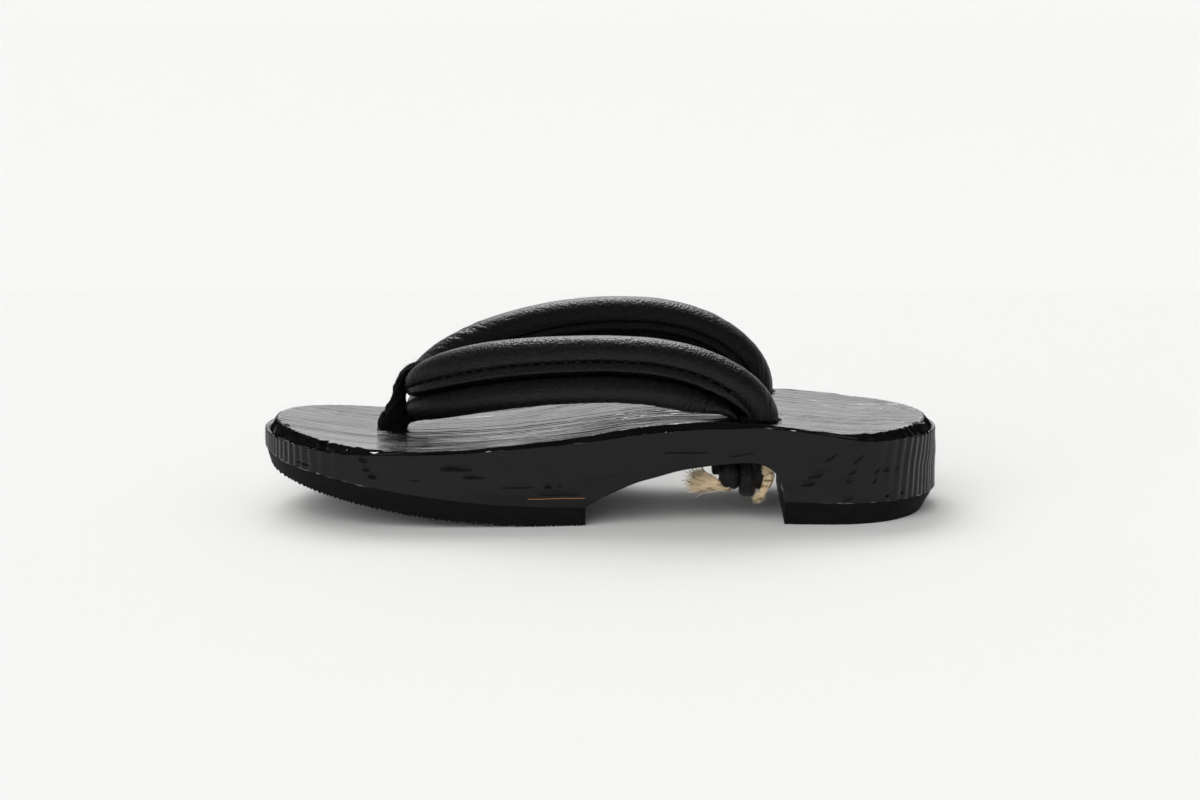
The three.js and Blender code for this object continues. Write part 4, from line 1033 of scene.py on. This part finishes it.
def strap_sections(groove, nose):
    """Rounded outlines (stations, points, 2) of the strap, by the furrow's depth and nearness to the nose"""
    opening = np.clip((groove - 3) / 4, 0, 1)[:, None]

    def arc(roll, turn):
        angle = np.radians(np.linspace(0, 1, roll["steps"] + 1)[None] * (roll["end"] - roll["start"] - turn)
                           + roll["start"] + turn)
        return np.stack([roll["u"] + roll["radius"] * np.cos(angle),
                         roll["v"] + roll["radius"] * np.sin(angle)], -1)

    ones = np.ones_like(opening)
    upper = arc(UPPER_ROLL, 0 * opening)
    lip = np.stack([LIP["u"] + LIP["open"] * opening, LIP["v"] * ones], -1)
    front = np.concatenate([upper[:, -4:], lip], 1)
    ray = front - (NOSE_ROUND["u"], NOSE_ROUND["v"])
    reach = np.hypot(ray[..., 0] / NOSE_ROUND["high"], ray[..., 1] / NOSE_ROUND["deep"])
    rounded = ray / reach[..., None] + (NOSE_ROUND["u"], NOSE_ROUND["v"])
    front = front + (rounded - front) * nose[:, None, None]
    upper, lip = np.concatenate([upper[:, :-4], front[:, :4]], 1), front[:, 4:]
    bed = np.stack([FURROW_BED["u"] + FURROW_BED["open"] * opening,
                    (1.9 - groove)[:, None] * np.array([0.8, 1.0, 1.0])], -1)
    lower = arc(LOWER_ROLL, 45 * opening)
    lining = np.stack([LINING["u"] * ones, LINING["v"] * ones], -1)
    section = np.concatenate([upper, lip, bed, lower, lining], axis=1)
    for _ in range(2):
        after = np.roll(section, -1, axis=1)
        section = np.stack([0.75 * section + 0.25 * after, 0.25 * section + 0.75 * after], 2)
        section = section.reshape(len(groove), -1, 2)
    return section


def strap_wrinkles(run, section):
    """Outward push of the leather's creases at each point of the strap"""
    stations, around = section.shape[:2]
    s = np.broadcast_to(run[:, None], (stations, around))
    edge = np.linalg.norm(np.diff(section, axis=1, prepend=section[:, -1:]), axis=2).cumsum(1)
    flat = np.stack([s.ravel(), edge.ravel(), np.zeros(s.size)], 1)
    total = run[-1]
    # Where creases gather: the bends down to the holes, most of all low down, and the nose
    bends = np.exp(-((s - 24) / 11) ** 2) + np.exp(-((s - total + 26) / 12) ** 2)
    nose = np.exp(-((s - total / 2) / 17) ** 2)
    low = np.clip((-section[:, :, 0] - 1) / 3, 0, 1) + 0.45
    gather = bends * low + 0.3 * nose
    fine = noise(flat, (1.4, 9, 1), 41).reshape(s.shape)
    broad = noise(flat, (6, 14, 1), 42).reshape(s.shape)
    swell = noise(flat, (26, 15, 1), 43).reshape(s.shape)
    # Fine upright ribs on the outer arm's lower roll
    ribs = np.clip((-section[:, :, 0] - 4) / 2, 0, 1) * np.exp(-((s - 62) / 26) ** 2)
    ribs = ribs * noise(flat, (1.5, 16, 1), 44).reshape(s.shape)
    # Slanted pleats where the far arm leaves the nose, on its upper inside
    slant = flat + np.stack([0.8 * flat[:, 1], 0 * flat[:, 1], 0 * flat[:, 1]], 1)
    far = noise(slant, (1.4, 14, 1), 45).reshape(s.shape) * np.exp(-((s - total / 2 - 23) / 12) ** 2)
    size = WRINKLES
    return (size["swell"] * swell + (size["fine"] * fine + size["broad"] * broad) * gather
            + size["all_over"] * broad + size["ribs"] * ribs + size["slant"] * far)


def build_strap(settings):
    """Padded leather strap with its stitched lip, furrow, lower roll, lining and hem"""
    frames = strap_frames(STRAP_STATIONS)
    run = frames["run"]
    # 1 at the nose, where the lip runs out, and 0 along the arms
    nose = np.exp(-((run - run[-1] / 2) / 8.5) ** 4)
    section = strap_sections(frames["groove"], nose)
    # The lower roll draws in and lifts off the base where the arms go down into their holes
    end = np.exp(-(np.minimum(run, run[-1] - run) / 13) ** 2)[:, None]
    under = np.minimum(section[:, :, 0] + 3, 0)
    section[:, :, 0] -= 0.6 * end * under
    scaled = section * np.stack([frames["across"], frames["full"]], 1)[:, None]
    rings = (frames["middle"][:, None] + scaled[:, :, :1] * frames["u"][:, None]
             + scaled[:, :, 1:] * frames["v"][:, None])
    along = np.gradient(rings, axis=0)
    across = np.roll(rings, -1, 1) - np.roll(rings, 1, 1)
    normal = unit(np.cross(along, across))
    centre = rings.mean(1, keepdims=True)
    normal *= np.sign(np.einsum("ijk,ijk->i", normal, rings - centre))[:, None, None]
    rings = rings + normal * strap_wrinkles(run, section)[:, :, None]
    # The thread pulls the seam in at each stitch
    seam = np.exp(-(((section[:, :, 0] - SEAM_U) / SEAM_HALF) ** 2))
    seam = seam * (section[:, :, 1] > 4) * (1 - nose[:, None])
    pull = (0.5 + 0.5 * np.cos(2 * np.pi * run / (settings.stitch_pitch / MM))[:, None]) ** 3
    rings = rings - normal * (seam * (SEAM_DEPTH + SEAM_PULL * pull))[:, :, None]
    floor = footbed(rings[..., 0], rings[..., 1]) + 0.3
    rings[..., 2] = np.maximum(rings[..., 2], floor)
    solids = [loft(rings)]
    for hole in (OUTER_HOLE, INNER_HOLE):
        # The pleated tail goes down through the hole
        angle = np.linspace(0, 2 * np.pi, 48, endpoint=False)
        pleat = TAIL["radius"] + TAIL["pleat"] * np.cos(TAIL["pleats"] * angle)
        heights = np.linspace(TAIL["low"], TAIL["high"], 16)
        tail = np.stack([np.column_stack([hole[0] + pleat * np.cos(angle), hole[1] + pleat * np.sin(angle),
                                          np.full(48, z)]) for z in heights])
        solids.append(loft(tail))
        corner, t = TAIL_CORNER, np.linspace(0, 1, 9)
        route = np.column_stack([hole[0] + corner["start"] + corner["reach"] * t,
                                 np.full(9, hole[1] + corner["aside"]), 0 * t])
        route[:, 2] = footbed(route[:, 0], route[:, 1]) + 0.9 - 0.5 * t + 1.6 * (1 - t) ** 2
        solids.append(tube(route, corner["radius"] * (1 - t) ** 0.7 + 0.12, 10))
    strap = make_piece("strap_padded", *merged(solids))
    finish_piece(strap, material_for(pebbled_leather, settings), "leather", "strap")


def build_stitching(settings):
    """Row of thread stitches in the valley above the lip, on both arms of the strap"""
    frames = strap_frames(STRAP_STATIONS)
    total = frames["run"][-1]
    pitch, thread = settings.stitch_pitch / MM, 0.5 * settings.thread_width / MM
    solids = []
    for k in range(int(total / pitch)):
        middle = (k + 0.5) * pitch
        if min(middle, total - middle) < UNSTITCHED_END or abs(middle - total / 2) < UNSTITCHED_NOSE:
            continue
        s = middle + np.linspace(-0.5, 0.5, 9) * STITCH_SHARE * pitch
        pick = [np.column_stack([np.interp(s, frames["run"], frames[key][:, a]) for a in range(3)])
                for key in ("middle", "u", "v")]
        across, full = (np.interp(s, frames["run"], frames[key]) for key in ("across", "full"))
        sink = 0.42 * np.linspace(-1, 1, 9) ** 4
        path = (pick[0] + pick[1] * (SEAM_U * across)[:, None]
                + pick[2] * (SEAM_V * full - 0.12 - sink)[:, None])
        radius = thread * np.sqrt(np.clip(1.02 - np.linspace(-1, 1, 9) ** 4, 0.02, 1))
        solids.append(tube(path, radius, 8))
    stitches = make_piece("strap_stitching", *merged(solids))
    finish_piece(stitches, material_for(waxed_thread, settings), "leather")


def build_toe_thong(settings):
    """Twisted cloth thong over the V, its knot in the recess underneath and its loose nap"""
    count, sides = 230, 56
    index = np.arange(len(THONG["x"]), dtype=float)
    s = np.linspace(0, index[-1], count)
    path = np.column_stack([smooth_through(index, THONG["x"], s), np.full(count, TOE_HOLE[1]),
                            smooth_through(index, THONG["z"], s)])
    rows = {**THONG, "t": index}
    thick, wide = curve(rows, "thick", "t")(s), curve(rows, "wide", "t")(s)
    run = np.concatenate([[0], np.cumsum(np.linalg.norm(np.diff(path, axis=0), axis=1))])
    along = unit(np.gradient(path, axis=0))
    normal = np.column_stack([-along[:, 2], np.zeros(count), along[:, 0]])
    angle = np.linspace(0, 2 * np.pi, sides, endpoint=False)
    # The cloth's folds wind round the thong, one turn in 22 mm, with finer ones against them
    fold = 1 + 0.09 * np.cos(2 * angle[None] - 2 * np.pi * run[:, None] / 11)
    fold += 0.05 * np.cos(5 * angle[None] + 2 * np.pi * run[:, None] / 7)
    rings = path[:, None] + (fold * thick[:, None] * np.cos(angle))[..., None] * normal[:, None]
    rings[..., 1] += fold * wide[:, None] * np.sin(angle)
    flat = rings.reshape(-1, 3)
    rough = noise(flat, (1.6, 1.6, 1.6), 51) + 0.6 * noise(flat, (0.7, 0.7, 0.7), 52)
    facing = unit(flat - np.repeat(path, sides, 0))
    flat = flat + facing * (0.22 * rough)[:, None]
    solids = [loft(flat.reshape(rings.shape))]
    # Stem through the hole, between the loop above and the knot below
    stem = np.linspace(THONG_STEM["low"], THONG_STEM["high"], 12)
    turn = np.linspace(0, 2 * np.pi, 40, endpoint=False)
    stem_rings = []
    for z in stem:
        radius = THONG_STEM["radius"] + 0.35 * np.cos(3 * turn + z * 0.8)
        stem_rings.append(np.column_stack([TOE_HOLE[0] + radius * np.cos(turn),
                                           TOE_HOLE[1] + radius * np.sin(turn), np.full(40, z)]))
    solids.append(loft(np.array(stem_rings)))
    solids.append(cloth_knot())
    rng = np.random.default_rng(53)
    pick = rng.choice(len(flat), NAP["hairs"], replace=False)
    pick = pick[flat[pick, 2] > NAP["above"]]
    root, out = flat[pick], facing[pick]
    lean = unit(out * 0.8 + rng.normal(size=root.shape) * 0.7)
    curl = rng.normal(size=root.shape) * 0.5
    t = np.linspace(0, 1, 5)
    length = rng.uniform(*NAP["lengths"], len(pick))
    paths = (root[:, None] - out[:, None] * 0.1 + lean[:, None] * (length[:, None] * t)[..., None]
             + curl[:, None] * (length[:, None] * t * t)[..., None])
    radii = NAP["radius"] * (1.05 - t)[None] * np.ones((len(pick), 1))
    solids.append(strands(paths, radii, 3))
    thong = make_piece("thong_toe", *merged(solids))
    finish_piece(thong, material_for(twisted_cloth, settings), "thong_cloth", "toe_thong")


def cloth_knot():
    """Knot that holds the thong under the base, as one cord wound over itself"""
    t = np.linspace(0, 2 * np.pi, 160, endpoint=False)
    radius = THONG_KNOT["radius"]
    path = np.column_stack([
        TOE_HOLE[0] + radius * (0.72 * np.sin(t) + 0.5 * np.sin(2 * t)),
        TOE_HOLE[1] + radius * (0.72 * np.cos(t) - 0.5 * np.cos(2 * t)),
        THONG_KNOT["z"] - 0.8 * np.sin(3 * t),
    ])
    path = np.concatenate([path, path[:4]])
    along = unit(np.gradient(path, axis=0))
    side = unit(np.cross(along, (0, 0, 1.0)))
    up = np.cross(side, along)
    angle = np.linspace(0, 2 * np.pi, 24, endpoint=False)
    twist = np.arange(len(path))[:, None] * 0.25
    size = THONG_KNOT["thick"] + 0.22 * np.cos(3 * (angle[None] + twist))
    rings = path[:, None] + size[..., None] * (np.cos(angle)[None, :, None] * side[:, None]
                                              + np.sin(angle)[None, :, None] * up[:, None])
    return loft(rings)


def knot_lobe(hole, lobe, mirror, seed):
    """One loop of folded leather hanging from a hole"""
    x, y, top, bottom, rx, ry = lobe
    count, sides = 70, 40
    t = np.linspace(0, 1, count)
    swing = ry - LOBE_HALF
    turn = np.pi * np.clip((t - 0.25) / 0.5, 0, 1)
    drop = bottom + LOBE_HALF
    straight = np.clip(0.25 - t, 0, 1) + np.clip(t - 0.75, 0, 1)
    z = drop + swing * (1 - np.sin(turn)) + straight * 4 * (top - drop - swing - 1.5)
    pinch = 1 - 0.35 * (straight * 4) ** 2
    across = hole[1] + mirror * (y - swing * np.cos(turn) * pinch)
    path = np.column_stack([np.full(count, hole[0] + x), across, z])
    along = unit(np.gradient(path, axis=0))
    side = np.tile([1.0, 0.0, 0.0], (count, 1))
    up = unit(np.cross(side, along))
    angle = np.linspace(0, 2 * np.pi, sides, endpoint=False)
    cos, sin = np.cos(angle), np.sin(angle)
    wide = np.sign(cos) * np.abs(cos) ** 0.85 * (rx - 0.1)
    deep = np.sign(sin) * np.abs(sin) ** 0.9 * LOBE_HALF
    crease = 1 - 0.16 * np.exp(-((angle - np.pi * 1.5) / 0.22) ** 2)
    taper = (1 - 0.25 * (straight * 4) ** 2)[:, None]
    rings = (path[:, None] + (taper * wide * crease)[..., None] * side[:, None]
             + (taper * deep * crease)[..., None] * up[:, None])
    flat = rings.reshape(-1, 3)
    facing = unit(flat - np.repeat(path, sides, 0))
    push = 0.16 * noise(flat, (3, 3, 5), seed) + 0.06 * noise(flat, (1.2, 1.2, 2.4), seed + 1)
    return loft((flat + facing * push[:, None]).reshape(rings.shape))


def build_knots(settings):
    """The two knots of the strap's tails under the base"""
    leather = material_for(pebbled_leather, settings)
    for side, hole, mirror, seed in (("outer", OUTER_HOLE, 1, 61), ("inner", INNER_HOLE, -1, 71)):
        solids = [knot_lobe(hole, lobe, mirror, seed + 2 * k)
                  for k, lobe in enumerate(zip(*KNOT_LOBES.values()))]
        angle = np.linspace(0, 2 * np.pi, 64, endpoint=False)
        rings = []
        for z, radius in zip(*KNOT_COLLAR.values()):
            size = radius + 0.3 * np.cos(9 * angle)
            rings.append(np.column_stack([hole[0] + size * np.cos(angle), hole[1] + size * np.sin(angle),
                                          np.full(64, z)]))
        solids.append(loft(np.array(rings)))
        knot = make_piece("knot_" + side, *merged(solids))
        finish_piece(knot, leather, "leather", "strap_knot_" + side)


def tuft(hole, cord, mirror, seed, width):
    """Fibres that run together along the cord's route and splay at its end, wide and flat like a brush.
    They are drawn a few times as thick as real jute fibres, so that single ones show in the render."""
    rng = np.random.default_rng(seed)
    count = cord["fibres"]
    route = np.array(cord["route"], float)
    s = np.linspace(0, len(route) - 1, 9)
    index = np.arange(len(route))
    trunk = np.column_stack([smooth_through(index, route[:, a], s) for a in range(3)])
    size = smooth_through(index, np.array(cord["radius"], float), s)
    along = unit(np.gradient(trunk, axis=0))
    side = np.tile([0.0, 1.0, 0.0], (len(s), 1))
    up = unit(np.cross(side, along))
    turn = rng.uniform(0, 2 * np.pi, count)
    off = rng.uniform(0.02, 1, count) ** 0.5
    cos, sin = (off * np.cos(turn))[:, None, None], (off * np.sin(turn))[:, None, None]
    body = trunk[None] + size[None, :, None] * (cos * up[None] + cord["flat"] * sin * side[None])
    wander = np.linspace(0, 5, len(s))[None] * rng.uniform(0.6, 1.6, (count, 1))
    wander = np.sin(wander + rng.uniform(0, 6, (count, 1)))
    body += 0.34 * wander[..., None] * rng.normal(size=(count, 1, 3))
    fan = np.clip(off * np.cos(turn) + rng.normal(size=count) * 0.3, -1.3, 1.3)
    climb = np.radians(cord["rise"] + fan * cord["spread"] * 0.5 * (1 if cord["rise"] > 0 else -1))
    head = np.radians(cord["heading"] + rng.normal(size=count) * cord["spread"] * 0.2)
    heading = np.column_stack([np.cos(head) * np.cos(climb), np.sin(head) * np.cos(climb), np.sin(climb)])
    reach = cord["length"] * rng.uniform(0.5, 1.0, count) * (1 - 0.18 * np.abs(fan))
    t = np.linspace(0, 1, 10)[1:]
    curl = rng.normal(size=(count, 3)) * (0.12, 0.08, 0.1)
    phase = 1.3 * fan[:, None] + rng.normal(size=(count, 1)) * 0.5
    wave = np.sin(2.2 * np.pi * t[None] + phase) * 0.5 * t[None]
    brush = (body[:, -1:] + heading[:, None] * (reach[:, None] * t)[..., None]
             + curl[:, None] * (reach[:, None] * t * t)[..., None])
    brush[..., 2] += wave
    paths = np.concatenate([body, brush], 1)
    paths[..., 1] *= mirror
    paths = paths + (hole[0], hole[1], 0)
    paths[..., 2] = np.maximum(paths[..., 2], 1.0)
    thin = (width * rng.uniform(0.35, 0.65, (count, 1)) * cord["thick"] / 0.15
            * np.linspace(1, 0.6, paths.shape[1])[None])
    return strands(paths, thin, 4)


def build_cord_ends(settings):
    """Frayed jute ends beside each knot"""
    jute = material_for(frayed_jute, settings)
    seed = 81
    for side, hole, mirror in (("outer", OUTER_HOLE, 1), ("inner", INNER_HOLE, -1)):
        for place, cord in (("front", FRONT_CORD), ("rear", REAR_CORD)):
            fibres = tuft(hole, cord, mirror, seed, settings.fibre_width / MM)
            piece = make_piece(f"jute_{side}_{place}", *fibres)
            finish_piece(piece, jute, "jute", f"cord_end_{side}_{place}")
            seed += 1


# Stage

def build_stage(settings):
    """Pale paper floor, soft light all round with a large soft panel behind and above, and the camera"""
    sides = 96
    angle = np.linspace(0, 2 * np.pi, sides, endpoint=False)
    points = [[0.0, 0.0, 0.0]]
    for radius in FLOOR_RADII:
        points += [[radius * math.cos(a), radius * math.sin(a), 0.0] for a in angle]
    k = 1 + np.arange(sides)
    n = 1 + (k % sides)
    tris = np.stack([np.zeros(sides, int), k, n], 1)
    quads = np.concatenate([np.stack([k, k + sides, n + sides, n], 1) + r * sides
                            for r in range(len(FLOOR_RADII) - 1)])
    floor = make_piece("paper_floor", np.array(points), quads, tris)
    floor.data.materials.append(material_for(matt_paper, settings))

    world = bpy.data.worlds.new("soft_studio")
    bpy.context.scene.world = world
    world.use_nodes = True
    tree = world.node_tree
    tree.nodes.clear()
    heading = node(tree, "ShaderNodeTexCoord").outputs["Generated"]
    axes = node(tree, "ShaderNodeSeparateXYZ", {"Vector": heading})
    # The studio's walls are pale up to 20 degrees, brighter behind the sandal, and its ceiling is dark
    aside = node(tree, "ShaderNodeMath", {0: axes.outputs["X"]}, operation="ABSOLUTE").outputs[0]
    slope = node(tree, "ShaderNodeMath", {0: aside, 1: 0.3, 2: axes.outputs["Z"]},
                 operation="MULTIPLY_ADD").outputs[0]
    low = ramp(tree, slope, *WALL_TONES)
    behind = node(tree, "ShaderNodeMapRange", {
        "Value": axes.outputs["Y"], "From Min": -0.1, "From Max": 0.5, "To Min": 0.34, "To Max": 1.24,
    }).outputs["Result"]
    walls = node(tree, "ShaderNodeMath", {0: low, 1: behind}, operation="MULTIPLY").outputs[0]
    # Soft panel: a band of directions from 38 to 66 degrees up, behind the sandal
    polar = node(tree, "ShaderNodeMath", {0: axes.outputs["Y"], 1: axes.outputs["Z"]},
                 operation="ARCTAN2").outputs[0]
    polar = node(tree, "ShaderNodeMapRange", {
        "Value": polar, "From Min": 0.0, "From Max": math.pi / 2}).outputs["Result"]
    band, width = ramp(tree, polar, *PANEL_BAND), ramp(tree, aside, *PANEL_WIDTH)
    both = node(tree, "ShaderNodeMath", {0: band, 1: width}, operation="MULTIPLY").outputs[0]
    light = node(tree, "ShaderNodeMath", {0: both, 1: settings.panel_glow, 2: walls},
                 operation="MULTIPLY_ADD").outputs[0]
    background = node(tree, "ShaderNodeBackground", {"Color": (1, 1, 1, 1), "Strength": light})
    out = node(tree, "ShaderNodeOutputWorld")
    tree.links.new(background.outputs[0], out.inputs["Surface"])

    # For matt surfaces only: even light from the whole upper half, and wide soft lights in front and behind
    for name, strength, spread, turn in MATT_LIGHTS:
        data = bpy.data.lights.new(name, "SUN")
        data.energy, data.angle = getattr(settings, strength), math.radians(spread)
        lamp = bpy.data.objects.new(name, data)
        lamp.location = (0, 0, 2)
        lamp.rotation_euler = (math.radians(turn[0]), 0, math.radians(turn[1]))
        lamp.visible_glossy = False
        bpy.context.scene.collection.objects.link(lamp)
    # For shine only: a strip behind and above, in the middle of the soft panel
    data = bpy.data.lights.new("light_shine", "AREA")
    data.energy, data.shape = settings.shine_power, "RECTANGLE"
    data.size, data.size_y = SHINE["size"]
    lamp = bpy.data.objects.new("light_shine", data)
    lamp.location = SHINE["place"]
    lamp.rotation_euler = (math.radians(SHINE["turn"]), 0, 0)
    lamp.visible_diffuse = lamp.visible_camera = False
    bpy.context.scene.collection.objects.link(lamp)

    data = bpy.data.cameras.new("camera")
    camera = bpy.data.objects.new("camera", data)
    bpy.context.scene.collection.objects.link(camera)
    data.sensor_width, data.lens = CAMERA["sensor"], CAMERA["lens"]
    data.clip_start, data.clip_end = 0.05, 30
    down = math.radians(CAMERA["down"])
    away = CAMERA["away"] * Vector((0, -math.cos(down), math.sin(down)))
    camera.location = Vector(CAMERA["target"]) + away
    camera.rotation_euler = (math.pi / 2 - down, 0, 0)
    bpy.context.scene.camera = camera
    bpy.context.scene.view_settings.view_transform = "Standard"


# Add-on

class GetaSettings(bpy.types.PropertyGroup):
    """Sizes and colours that a user would change"""

    grain_spacing: bpy.props.FloatProperty(
        name="Grain spacing", description="Distance between the wood's growth rings", unit="LENGTH",
        default=0.0024, min=0.001, max=0.01, precision=5)
    grain_relief: bpy.props.FloatProperty(
        name="Grain relief", description="Height of the brushed growth rings", unit="LENGTH",
        default=0.00026, min=0.0, max=0.001, precision=5)
    pebble_size: bpy.props.FloatProperty(
        name="Leather pebbles", description="Size of a pebble in the leather's grain", unit="LENGTH",
        default=0.00062, min=0.0004, max=0.003, precision=5)
    stitch_pitch: bpy.props.FloatProperty(
        name="Stitch pitch", description="Distance from one stitch of the strap to the next", unit="LENGTH",
        default=0.0042, min=0.002, max=0.01, precision=5)
    thread_width: bpy.props.FloatProperty(
        name="Thread width", description="Diameter of the strap's thread", unit="LENGTH",
        default=0.00055, min=0.0002, max=0.0015, precision=5)
    fibre_width: bpy.props.FloatProperty(
        name="Fibre width", description="Diameter of a jute fibre", unit="LENGTH",
        default=0.0003, min=0.0001, max=0.001, precision=5)
    tread_rib: bpy.props.FloatProperty(
        name="Tread ribs", description="Distance between the ribs under the front tread", unit="LENGTH",
        default=0.0015, min=0.001, max=0.006, precision=5)
    lacquer_colour: bpy.props.FloatVectorProperty(
        name="Lacquer", description="Colour of the lacquer on the wood", subtype="COLOR", size=3,
        default=linear("0a0a0b"), min=0, max=1)
    leather_colour: bpy.props.FloatVectorProperty(
        name="Leather", description="Colour of the strap's leather", subtype="COLOR", size=3,
        default=linear("0e0e0f"), min=0, max=1)
    cloth_colour: bpy.props.FloatVectorProperty(
        name="Thong cloth", description="Colour of the toe thong", subtype="COLOR", size=3,
        default=linear("040404"), min=0, max=1)
    rubber_colour: bpy.props.FloatVectorProperty(
        name="Rubber", description="Colour of the treads", subtype="COLOR", size=3,
        default=linear("0a0a0a"), min=0, max=1)
    jute_colour: bpy.props.FloatVectorProperty(
        name="Jute", description="Colour of the frayed cord ends", subtype="COLOR", size=3,
        default=linear("b8a688"), min=0, max=1)
    paper_colour: bpy.props.FloatVectorProperty(
        name="Floor", description="Colour of the paper floor", subtype="COLOR", size=3,
        default=linear("c1c1c0"), min=0, max=1)
    panel_glow: bpy.props.FloatProperty(
        name="Panel glow", description="Brightness of the soft panel behind the sandal",
        default=4.0, min=0.0, max=50.0)
    fill_strength: bpy.props.FloatProperty(
        name="Fill", description="Strength of the even light from all round",
        default=2.0, min=0.0, max=20.0)
    front_strength: bpy.props.FloatProperty(
        name="Front light", description="Strength of the soft light low in front",
        default=2.9, min=0.0, max=20.0)
    back_strength: bpy.props.FloatProperty(
        name="Back light", description="Strength of the soft light above and behind",
        default=1.9, min=0.0, max=20.0)
    shine_power: bpy.props.FloatProperty(
        name="Shine", description="Power of the strip that gives the leather its highlight, in watts",
        default=27.0, min=0.0, max=500.0)


def made(build, context):
    """Runs a builder, and passes on its error if it fails"""
    build(context.scene.geta_settings)
    return {"FINISHED"}


class GETA_OT_stage(bpy.types.Operator):
    """Lays the floor and sets up the light and the camera"""

    bl_idname = "geta.stage"
    bl_label = "Stage"
    bl_options = {"REGISTER", "UNDO"}

    def execute(self, context):
        return made(build_stage, context)


class GETA_OT_wood_base(bpy.types.Operator):
    """Builds the brushed and lacquered wooden base"""

    bl_idname = "geta.wood_base"
    bl_label = "Wood base"
    bl_options = {"REGISTER", "UNDO"}

    def execute(self, context):
        return made(build_wood_base, context)


class GETA_OT_treads(bpy.types.Operator):
    """Builds the front and heel treads of foam rubber"""

    bl_idname = "geta.treads"
    bl_label = "Treads"
    bl_options = {"REGISTER", "UNDO"}

    def execute(self, context):
        return made(build_treads, context)


class GETA_OT_joint_glue(bpy.types.Operator):
    """Runs the glue squeezed out between wood and rubber"""

    bl_idname = "geta.joint_glue"
    bl_label = "Joint glue"
    bl_options = {"REGISTER", "UNDO"}

    def execute(self, context):
        return made(build_glue, context)


class GETA_OT_strap(bpy.types.Operator):
    """Builds the padded leather strap"""

    bl_idname = "geta.strap"
    bl_label = "Strap"
    bl_options = {"REGISTER", "UNDO"}

    def execute(self, context):
        return made(build_strap, context)


class GETA_OT_stitching(bpy.types.Operator):
    """Sews the stitches along the strap's lip"""

    bl_idname = "geta.stitching"
    bl_label = "Stitching"
    bl_options = {"REGISTER", "UNDO"}

    def execute(self, context):
        return made(build_stitching, context)


class GETA_OT_toe_thong(bpy.types.Operator):
    """Builds the twisted cloth thong between the toes"""

    bl_idname = "geta.toe_thong"
    bl_label = "Toe thong"
    bl_options = {"REGISTER", "UNDO"}

    def execute(self, context):
        return made(build_toe_thong, context)


class GETA_OT_knots(bpy.types.Operator):
    """Ties the knots of the strap under the base"""

    bl_idname = "geta.knots"
    bl_label = "Knots"
    bl_options = {"REGISTER", "UNDO"}

    def execute(self, context):
        return made(build_knots, context)


class GETA_OT_cord_ends(bpy.types.Operator):
    """Frays the jute ends beside the knots"""

    bl_idname = "geta.cord_ends"
    bl_label = "Cord ends"
    bl_options = {"REGISTER", "UNDO"}

    def execute(self, context):
        return made(build_cord_ends, context)


OPERATORS = [GETA_OT_stage, GETA_OT_wood_base, GETA_OT_treads, GETA_OT_joint_glue,
             GETA_OT_strap, GETA_OT_stitching, GETA_OT_toe_thong, GETA_OT_knots, GETA_OT_cord_ends]


class GETA_PT_panel(bpy.types.Panel):
    """Builds the sandal piece by piece"""

    bl_label = "Geta sandal"
    bl_idname = "GETA_PT_panel"
    bl_space_type = "VIEW_3D"
    bl_region_type = "UI"
    bl_category = "Geta"

    def draw(self, context):
        settings = context.scene.geta_settings
        for name in settings.bl_rna.properties.keys():
            if name not in ("rna_type", "name"):
                self.layout.prop(settings, name)
        for operator in OPERATORS:
            self.layout.operator(operator.bl_idname)


CLASSES = [GetaSettings, *OPERATORS, GETA_PT_panel]


def register():
    """Adds the classes, and the settings to the scene"""
    for kind in CLASSES:
        bpy.utils.register_class(kind)
    bpy.types.Scene.geta_settings = bpy.props.PointerProperty(type=GetaSettings)


def unregister():
    """Takes the settings and the classes away again"""
    del bpy.types.Scene.geta_settings
    for kind in reversed(CLASSES):
        bpy.utils.unregister_class(kind)


def main():
    """Builds every piece in order"""
    register()
    for operator in OPERATORS:
        group, name = operator.bl_idname.split(".")
        getattr(getattr(bpy.ops, group), name)()


if __name__ == "__main__":
    main()
